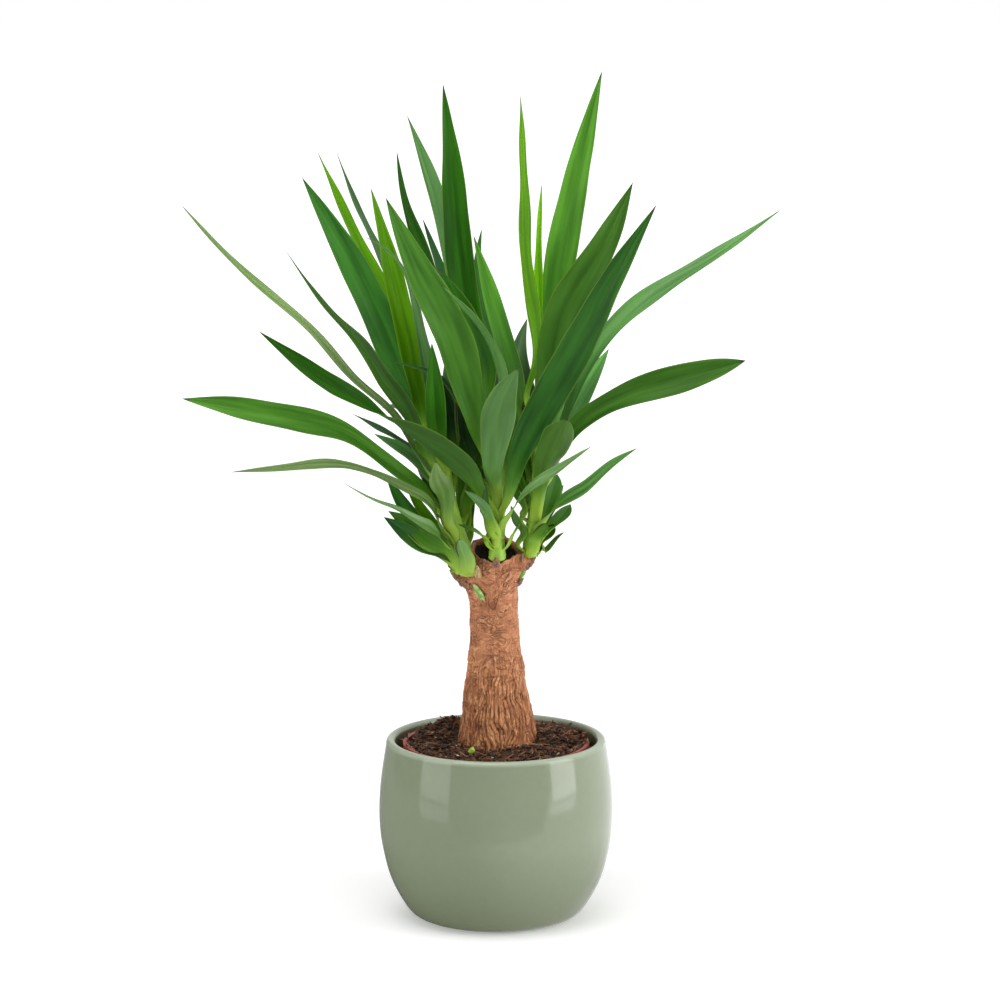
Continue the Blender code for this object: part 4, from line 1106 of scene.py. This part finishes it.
# %% Mix the leaf tones
LEAF_TONES = {
    "deep": ((0.006, 0.044, 0.001), (0.031, 0.157, 0.004)),
    "bright": ((0.039, 0.152, 0.001), (0.145, 0.392, 0.005)),
    "mid": ((0.017, 0.076, 0.004), (0.071, 0.224, 0.016)),
    "grey": ((0.029, 0.106, 0.018), (0.109, 0.290, 0.061)),
    "teal": ((0.008, 0.055, 0.005), (0.042, 0.181, 0.017)),
    "slate": ((0.004, 0.033, 0.004), (0.023, 0.117, 0.019)),
    "olive": ((0.058, 0.116, 0.025), (0.190, 0.310, 0.091)),
    "pale": ((0.067, 0.158, 0.032), (0.260, 0.454, 0.177)),
}
# How much a tone shines; the saturated ones hardly do.
LEAF_SHEEN = {"deep": 0.08, "bright": 0.06, "mid": 0.15, "teal": 0.15, "slate": 0.15}
OTHER_SHEEN = 0.30
SHEATH_COLOUR = (0.36, 0.56, 0.055)
NECK_COLOUR = (0.085, 0.240, 0.011)
MARGIN_COLOUR = (0.20, 0.34, 0.04)
NEEDLE_COLOUR = (0.050, 0.026, 0.012)
# Painted shade in the heart of the crown: its middle and half its size in metres, and how dark the painted
# shade makes a leaf.
CROWN_MIDDLE = (-0.005, 0.030, 0.360)
CROWN_SIZE = (0.085, 0.100, 0.085)
CROWN_SHADE = 0.55


def painted_crown_shade(place):
    """Painted shade: 1 in the heart of the crown, where leaves get little light, 0 outside it."""
    away = place.node("ShaderNodeVectorMath", {"operation": "SUBTRACT"}, {0: place, 1: CROWN_MIDDLE})
    away = place.node("ShaderNodeVectorMath", {"operation": "DIVIDE"}, {0: away, 1: CROWN_SIZE})
    distance = length(away)
    return (1 - ease(distance, 0.3, 1.2)) * ease(parts(place)[1], -0.03, 0.02)


def leaf_green(place, dark, light, sheen):
    """Leaf skin of one tone, drawn along and across the blade."""
    across, share, reach = mark(place, "blade")
    lower, lightness_and_painted_light, phase = mark(place, "leaf")
    vein = noise(vector(across * 9 + phase, reach * 0.6, phase), 2.2, 4.0, 0.6)
    cloud = noise(vector(across * 1.3 + phase, reach * 0.9, phase), 1.6, 1.5)
    middle = 1 - ease(abs(across), 0.0, 0.16)
    margin = ease(abs(across), 0.90, 0.99)
    needle = ease(share, 0.965, 0.99)
    neck = 1 - ease(reach, 0.15, 0.60)
    sheath = 1 - ease(reach, -0.06, 0.26)
    colour = tint(ease(cloud, 0.25, 0.75) * 0.65 + 0.35 * vein, dark, light)
    # Each leaf's lightness, partly painted light and shade, and painted shade in the heart of the crown.
    colour = shade(colour, lightness_and_painted_light * (1 - CROWN_SHADE * painted_crown_shade(place)))
    colour = tint(middle * 0.16, colour, light)
    colour = tint(lower * 0.25, colour, (0.105, 0.195, 0.050))
    colour = tint(margin * 0.45, colour, MARGIN_COLOUR)
    colour = tint(neck * 0.55, colour, NECK_COLOUR)
    colour = tint(sheath * 0.9, colour, SHEATH_COLOUR)
    colour = tint(needle * 0.9, colour, NEEDLE_COLOUR)
    groove = vein * 0.5 - 0.8 * middle
    return {"Base Color": colour, "Roughness": 0.34 + 0.16 * vein,
            "Specular IOR Level": sheen,
            "Normal": bump(groove, 0.55, 0.35)}


leaf_skins = {tone: painted("leaf_" + tone, leaf_green, *pair, LEAF_SHEEN.get(tone, OTHER_SHEEN))
              for tone, pair in LEAF_TONES.items()}
print("tones:", ", ".join(leaf_skins))

# %% Grow the leaves
SHOOT_ROWS = {"left": LEFT_LEAVES, "centre": CENTRE_LEAVES, "right": RIGHT_LEAVES}
# Leaves with an outline of their own, in the terms of LEAF_OUTLINE.
OUTLINES = {
    "left_02": (0.0, 0.30, 0.6, 0.5), "left_04": (0.0, 0.62, 1.8, 0.85), "left_07": (0.30, 0.62, 2.4, 0.55),
    "left_11": (0.0, 0.50, 3.0, 0.75), "left_12": (0.0, 0.42, 0.9, 0.6), "left_15": (0.0, 0.4, 1.0, 0.6),
    "centre_06": (0.15, 0.60, 1.5, 0.55), "centre_08": (0.0, 0.30, 3.5, 0.45),
    "right_01": (0.0, 0.60, 2.5, 0.38), "right_02": (0.0, 0.55, 4.0, 0.38),
    "right_05": (0.0, 0.62, 3.0, 0.38), "right_07": (0.15, 0.70, 2.2, 0.5),
}
# Leaves that turn unevenly: degrees at places from foot to tip.
TWISTS = {"left_04": [(0, 20), (0.2, 40), (0.43, 70), (0.56, 72), (0.7, 45), (1, 55)],
          "centre_08": [(0, 170), (0.35, 165), (0.54, 95), (0.72, 30), (1, 30)]}
# Leaves painted in another tone than the one they are filed under.
SKINS = {"left_02": "pale", "left_03": "teal", "left_11": "olive", "left_15": "grey",
         "centre_02": "pale", "right_14": "mid"}
# How light each leaf is painted against its tone, in the order of the rows: partly its own green, partly
# painted light and shade for where it stands lit or shaded.
LIGHTS = {
    "left": [1.12, 0.98, 1.29, 1.1, 1.28, 1, 1.45, 1, 1.56, 1, 1.2, 0.65, 1.24, 1, 0.9, 1.31, 0.55, 0.92,
             1.1],
    "centre": [0.75, 1.21, 1, 1.02, 1.2, 1, 1, 0.75, 1, 1.25, 1, 1.5, 1.01, 0.8, 0.85, 1.05],
    "right": [1.35, 1.35, 1.25, 1, 0.83, 1, 0.95, 1, 1.95, 0.57, 1.45, 1.85, 0.9, 1.55, 1.8, 0.92],
}
LEAF_SEED = 100
grown = 0
for side, rows in SHOOT_ROWS.items():
    for number, (row, light) in enumerate(zip(rows, LIGHTS[side]), start=1):
        grown += 1
        name = "%s_%02d" % (side, number)
        outline = OUTLINES.get(name, LEAF_OUTLINE)
        points, marks = leaf_grid(side, row, LEAF_SEED + grown, outline, TWISTS.get(name), light)
        skin = leaf_skins[SKINS.get(name, row[4])]
        grid_piece("blade_" + name, points, skin, ["leaf_" + name], marks)
print("grown:", grown, "leaves")

# %% [markdown]
# ## Small and hidden leaves
#
# Between the big blades sit smaller ones: stubby first leaves round the feet of the shoots,
# and dark ones deep inside the crown.  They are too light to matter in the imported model, but
# without them the crown looks thin.  The same formula grows them, and a blunt tip is only a
# higher power in the outline.

# %% Fill the crown
YOUNG_LEAVES = {
    "left": [
        (268, 17, 15, 20, "mid", [(-36, -20, 281), (-49, -19, 290), (-65, -16, 302), (-80, -12, 311)], 2),
        (266, 11, 0, 0, "pale", [(-22, -24, 275), (-25, -28, 285), (-27, -29, 293)], 6),
        (262, 8, 20, 20, "mid", [(-29, -10, 264), (-36, -9, 270)], 6),
        (286, 9, 30, 30, "bright", [(-42, 2, 294), (-54, 8, 306), (-63, 14, 320), (-68, 18, 332)], 2),
        (288, 12, 20, 20, "slate", [(-38, 10, 303), (-47, 16, 316), (-55, 20, 331)], 3),
        (350, 12, 40, 45, "bright", [(-50, -5, 371), (-62, -3, 419), (-73, 0, 461)], 2),
        (300, 13, 5, 0, "deep", [(-24, 2, 316), (-24, 6, 338), (-26, 8, 366)], 2),
        (286, 9, 0, 0, "mid", [(-20, 0, 300), (-20, 4, 320), (-22, 6, 347)], 2),
        (325, 15, 10, 10, "slate", [(-33, 8, 342), (-34, 16, 372), (-44, 20, 412)], 2),
        (296, 12, 5, 0, "deep", [(-22, -2, 311), (-18, 1, 325), (-14, 3, 341), (-13, 4, 353)], 2),
    ],
    "centre": [
        (288, 7, 30, 40, "slate", [(-14, -24, 297), (-21, -25, 301), (-28, -24, 303)], 2),
        (286, 6, -30, -30, "slate", [(13, -21, 295), (16, -21, 300), (18, -20, 305)], 3),
        (345, 7, 55, 60, "slate", [(-12, -14, 365), (-21, -18, 384), (-32, -22, 402), (-45, -30, 416),
                                   (-61, -38, 423), (-76, -45, 428)], 2),
        (294, 9, 0, 0, "slate", [(-6, -25, 306), (-8, -38, 318), (-7, -42, 336)], 2),
        (286, 5, 0, 0, "bright", [(-4, -20, 298), (-6, -18, 314), (-7, -16, 330)], 2),
        (318, 18, 10, 10, "slate", [(-12, 6, 336), (-20, 12, 358), (-24, 16, 385), (-25, 18, 425)], 2),
        (322, 16, -10, -10, "deep", [(8, 4, 345), (10, 10, 372), (10, 16, 405)], 2),
    ],
    "right": [
        (284, 9, -20, -20, "mid", [(36, 6, 297), (43, 24, 309), (51, 40, 322)], 2),
        (280, 10, -35, -35, "mid", [(28, -14, 287), (32, -20, 295), (38, -26, 304)], 6),
        (279, 11, -15, -15, "deep", [(33, 2, 283), (38, 5, 289), (43, 6, 298)], 5),
        (278, 6, -40, -40, "slate", [(36, 1, 279), (44, 3, 286), (51, 4, 292)], 2),
        (282, 8, 10, 10, "grey", [(20, -6, 292), (16, -8, 302), (11, -10, 315)], 2),
        (300, 8, 0, 0, "slate", [(20, -6, 308), (16, -8, 322), (11, -8, 336)], 2),
        (304, 9, 0, 0, "deep", [(23, -4, 314), (19, -5, 329), (16, -4, 350)], 2),
        (312, 15, 5, 0, "deep", [(22, 8, 330), (17, 12, 350), (13, 14, 378)], 2),
        (318, 15, 0, 0, "mid", [(27, 9, 336), (24, 16, 362), (22, 20, 395)], 2),
        (360, 16, 30, 30, "teal", [(3, 75, 419), (-14, 130, 482), (-11, 150, 504)], 2),
    ],
}
for side, rows in YOUNG_LEAVES.items():
    for number, (*row, point) in enumerate(rows, start=1):
        grown += 1
        outline = (*LEAF_OUTLINE[:2], point, LEAF_OUTLINE[3])
        points, marks = leaf_grid(side, row, LEAF_SEED + grown, outline, stations=YOUNG_STATIONS,
                                  sheath=YOUNG_SHEATH)
        marks["blade"][:, 2] *= 2    # its pale foot is half as long
        grid_piece("young_leaf_%s_%02d" % (side, number), points, leaf_skins[row[4]], (), marks)
print("with the small ones:", grown, "leaves")

# %% [markdown]
# ## Husks and buds
#
# Where the shoots break out of the old cane, dry scales of bark curl back round their feet,
# and two buds have only just come through.  A husk is a thin pointed strip that curls away as
# it rises.  A bud is a spindle with a shallow groove where its scales overlap.

# %% Add husks and buds
# Kind, foot, tip and width.
HUSKS = [
    ("dry", (-23, -8, 254), (-31, -9, 262), 8), ("dry", (-19, -13, 252), (-26, -15, 259), 7),
    ("dry", (15, -5, 253), (21, -6, 260), 6), ("dry", (20, -8, 266), (29, -9, 273), 7),
    ("dry", (0.5, -22.5, 270), (0, -24, 280), 8), ("dry", (19, -11, 272), (20, -11, 280), 5),
    ("dry", (24, 4, 267), (30, 7, 274), 7), ("dry", (-28, 3, 257), (-34, 6, 263), 8),
    ("dry", (4, 17, 283), (5, 20, 291), 9), ("dry", (-8, -15, 271), (-9, -17, 277), 6),
    ("pale", (-13, -17.5, 261), (-14, -20, 273), 7), ("pale", (-15, -18, 264), (-18, -20, 281), 5),
]
HUSK_GRID = (18, 16)     # rows, and points round each
BUD_GRID = (26, 30)
# Name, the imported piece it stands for, colour, foot, tip and width.
BUDS = [
    ("cane_bud", "trunk_bud", "green", (-8.8, -18.0, 244.5), (-17.0, -17.5, 257.0), 4.6),
    ("peat_sprout", "soil_sprout", "yellow", (-18.8, -38.5, 131.0), (-17.2, -39.7, 138.0), 5.4),
    ("flank_bud", "", "green", (16.5, -3, 256.5), (23.5, -4, 270.0), 5.0),
]


def spindle(foot, tip, rows, sides):
    """Places along a straight piece from foot to tip, and two directions across it."""
    foot, tip = np.array(foot, dtype=float), np.array(tip, dtype=float)
    axis = unit(tip - foot)
    across = unit(np.cross(axis, (0.0, 1.0, 0.2)))
    share = np.linspace(0, 1, rows)[:, None]
    angle = np.arange(sides) * TURN / sides
    return foot + (tip - foot) * share[..., None], share, angle, across, np.cross(axis, across)


def husk_grid(foot, tip, width, seed):
    """A husk: width falls from foot to tip, the strip is hollow towards the cane and curls out."""
    line, share, angle, across, out = spindle(foot, tip, *HUSK_GRID)
    out = out * np.sign(out @ np.array([foot[0], foot[1], 0.0]) or 1)
    half = width / 2 * (1 - share ** 1.6) * (0.75 + 0.25 * np.sqrt(share))
    u = np.cos(angle)
    ragged = 1 + 0.14 * lattice(share * 7 + seed, 3 * u + 40, seed)
    hollow = -0.22 * half * (2 * u ** 2 - 1) + 0.35 * width * share ** 2
    lift = hollow + 0.45 * np.sin(angle) * (1 - 0.5 * share)
    points = line + (half * ragged * u)[..., None] * across + lift[..., None] * out
    for end in (0, -1):
        points[end] = points[end].mean(axis=0)
    return points


def bud_grid(foot, tip, width):
    """A bud: a spindle whose girth is a skewed half sine, creased by three overlapping scales."""
    line, share, angle, across, out = spindle(foot, tip, *BUD_GRID)
    girth = width / 2 * np.sin(math.pi * share ** 0.8) ** 0.7
    crease = 1 - 0.13 * np.abs(np.sin(1.5 * angle + 2.2 * share)) ** 6 - 0.05 * np.cos(angle * 3 + 5 * share)
    ring = np.cos(angle)[:, None] * across + np.sin(angle)[:, None] * out
    return line + (girth * crease)[..., None] * ring


def husk_skin(place, dark, light):
    """Dry skin: fibres run up it between a dark and a light colour."""
    x, y, z = parts(place)
    fibre = noise(vector(x * 1000, y * 1000, z * 160), 0.9, 4.0)
    return {"Base Color": tint(ease(fibre, 0.3, 0.7), dark, light), "Roughness": 0.55 + 0.2 * fibre,
            "Normal": bump(fibre, 0.8, 0.5)}


def bud_skin(place, dark, light):
    """Fresh bud: bright green in soft patches."""
    patch = noise(place, 260.0, 3.0)
    colour = tint(ease(patch, 0.35, 0.65), dark, light)
    return {"Base Color": colour, "Roughness": 0.35 + 0.2 * patch, "Normal": bump(patch, 0.3, 0.3)}


husk_skins = {"dry": painted("dry_husk", husk_skin, (0.110, 0.042, 0.020), (0.420, 0.220, 0.120)),
              "pale": painted("pale_husk", husk_skin, (0.330, 0.150, 0.070), (0.560, 0.520, 0.210))}
for number, (kind, foot, tip, width) in enumerate(HUSKS, start=1):
    grid_piece("husk_%02d" % number, husk_grid(foot, tip, width, number), husk_skins[kind])
bud_skins = {"green": painted("bud_green", bud_skin, (0.120, 0.360, 0.030), (0.430, 0.600, 0.190)),
             "yellow": painted("bud_yellow", bud_skin, (0.330, 0.520, 0.020), (0.640, 0.760, 0.090))}
for name, node, skin, foot, tip, width in BUDS:
    grid_piece(name, bud_grid(foot, tip, width), bud_skins[skin], [node] if node else ())
print("husks:", len(HUSKS), "buds:", len(BUDS))
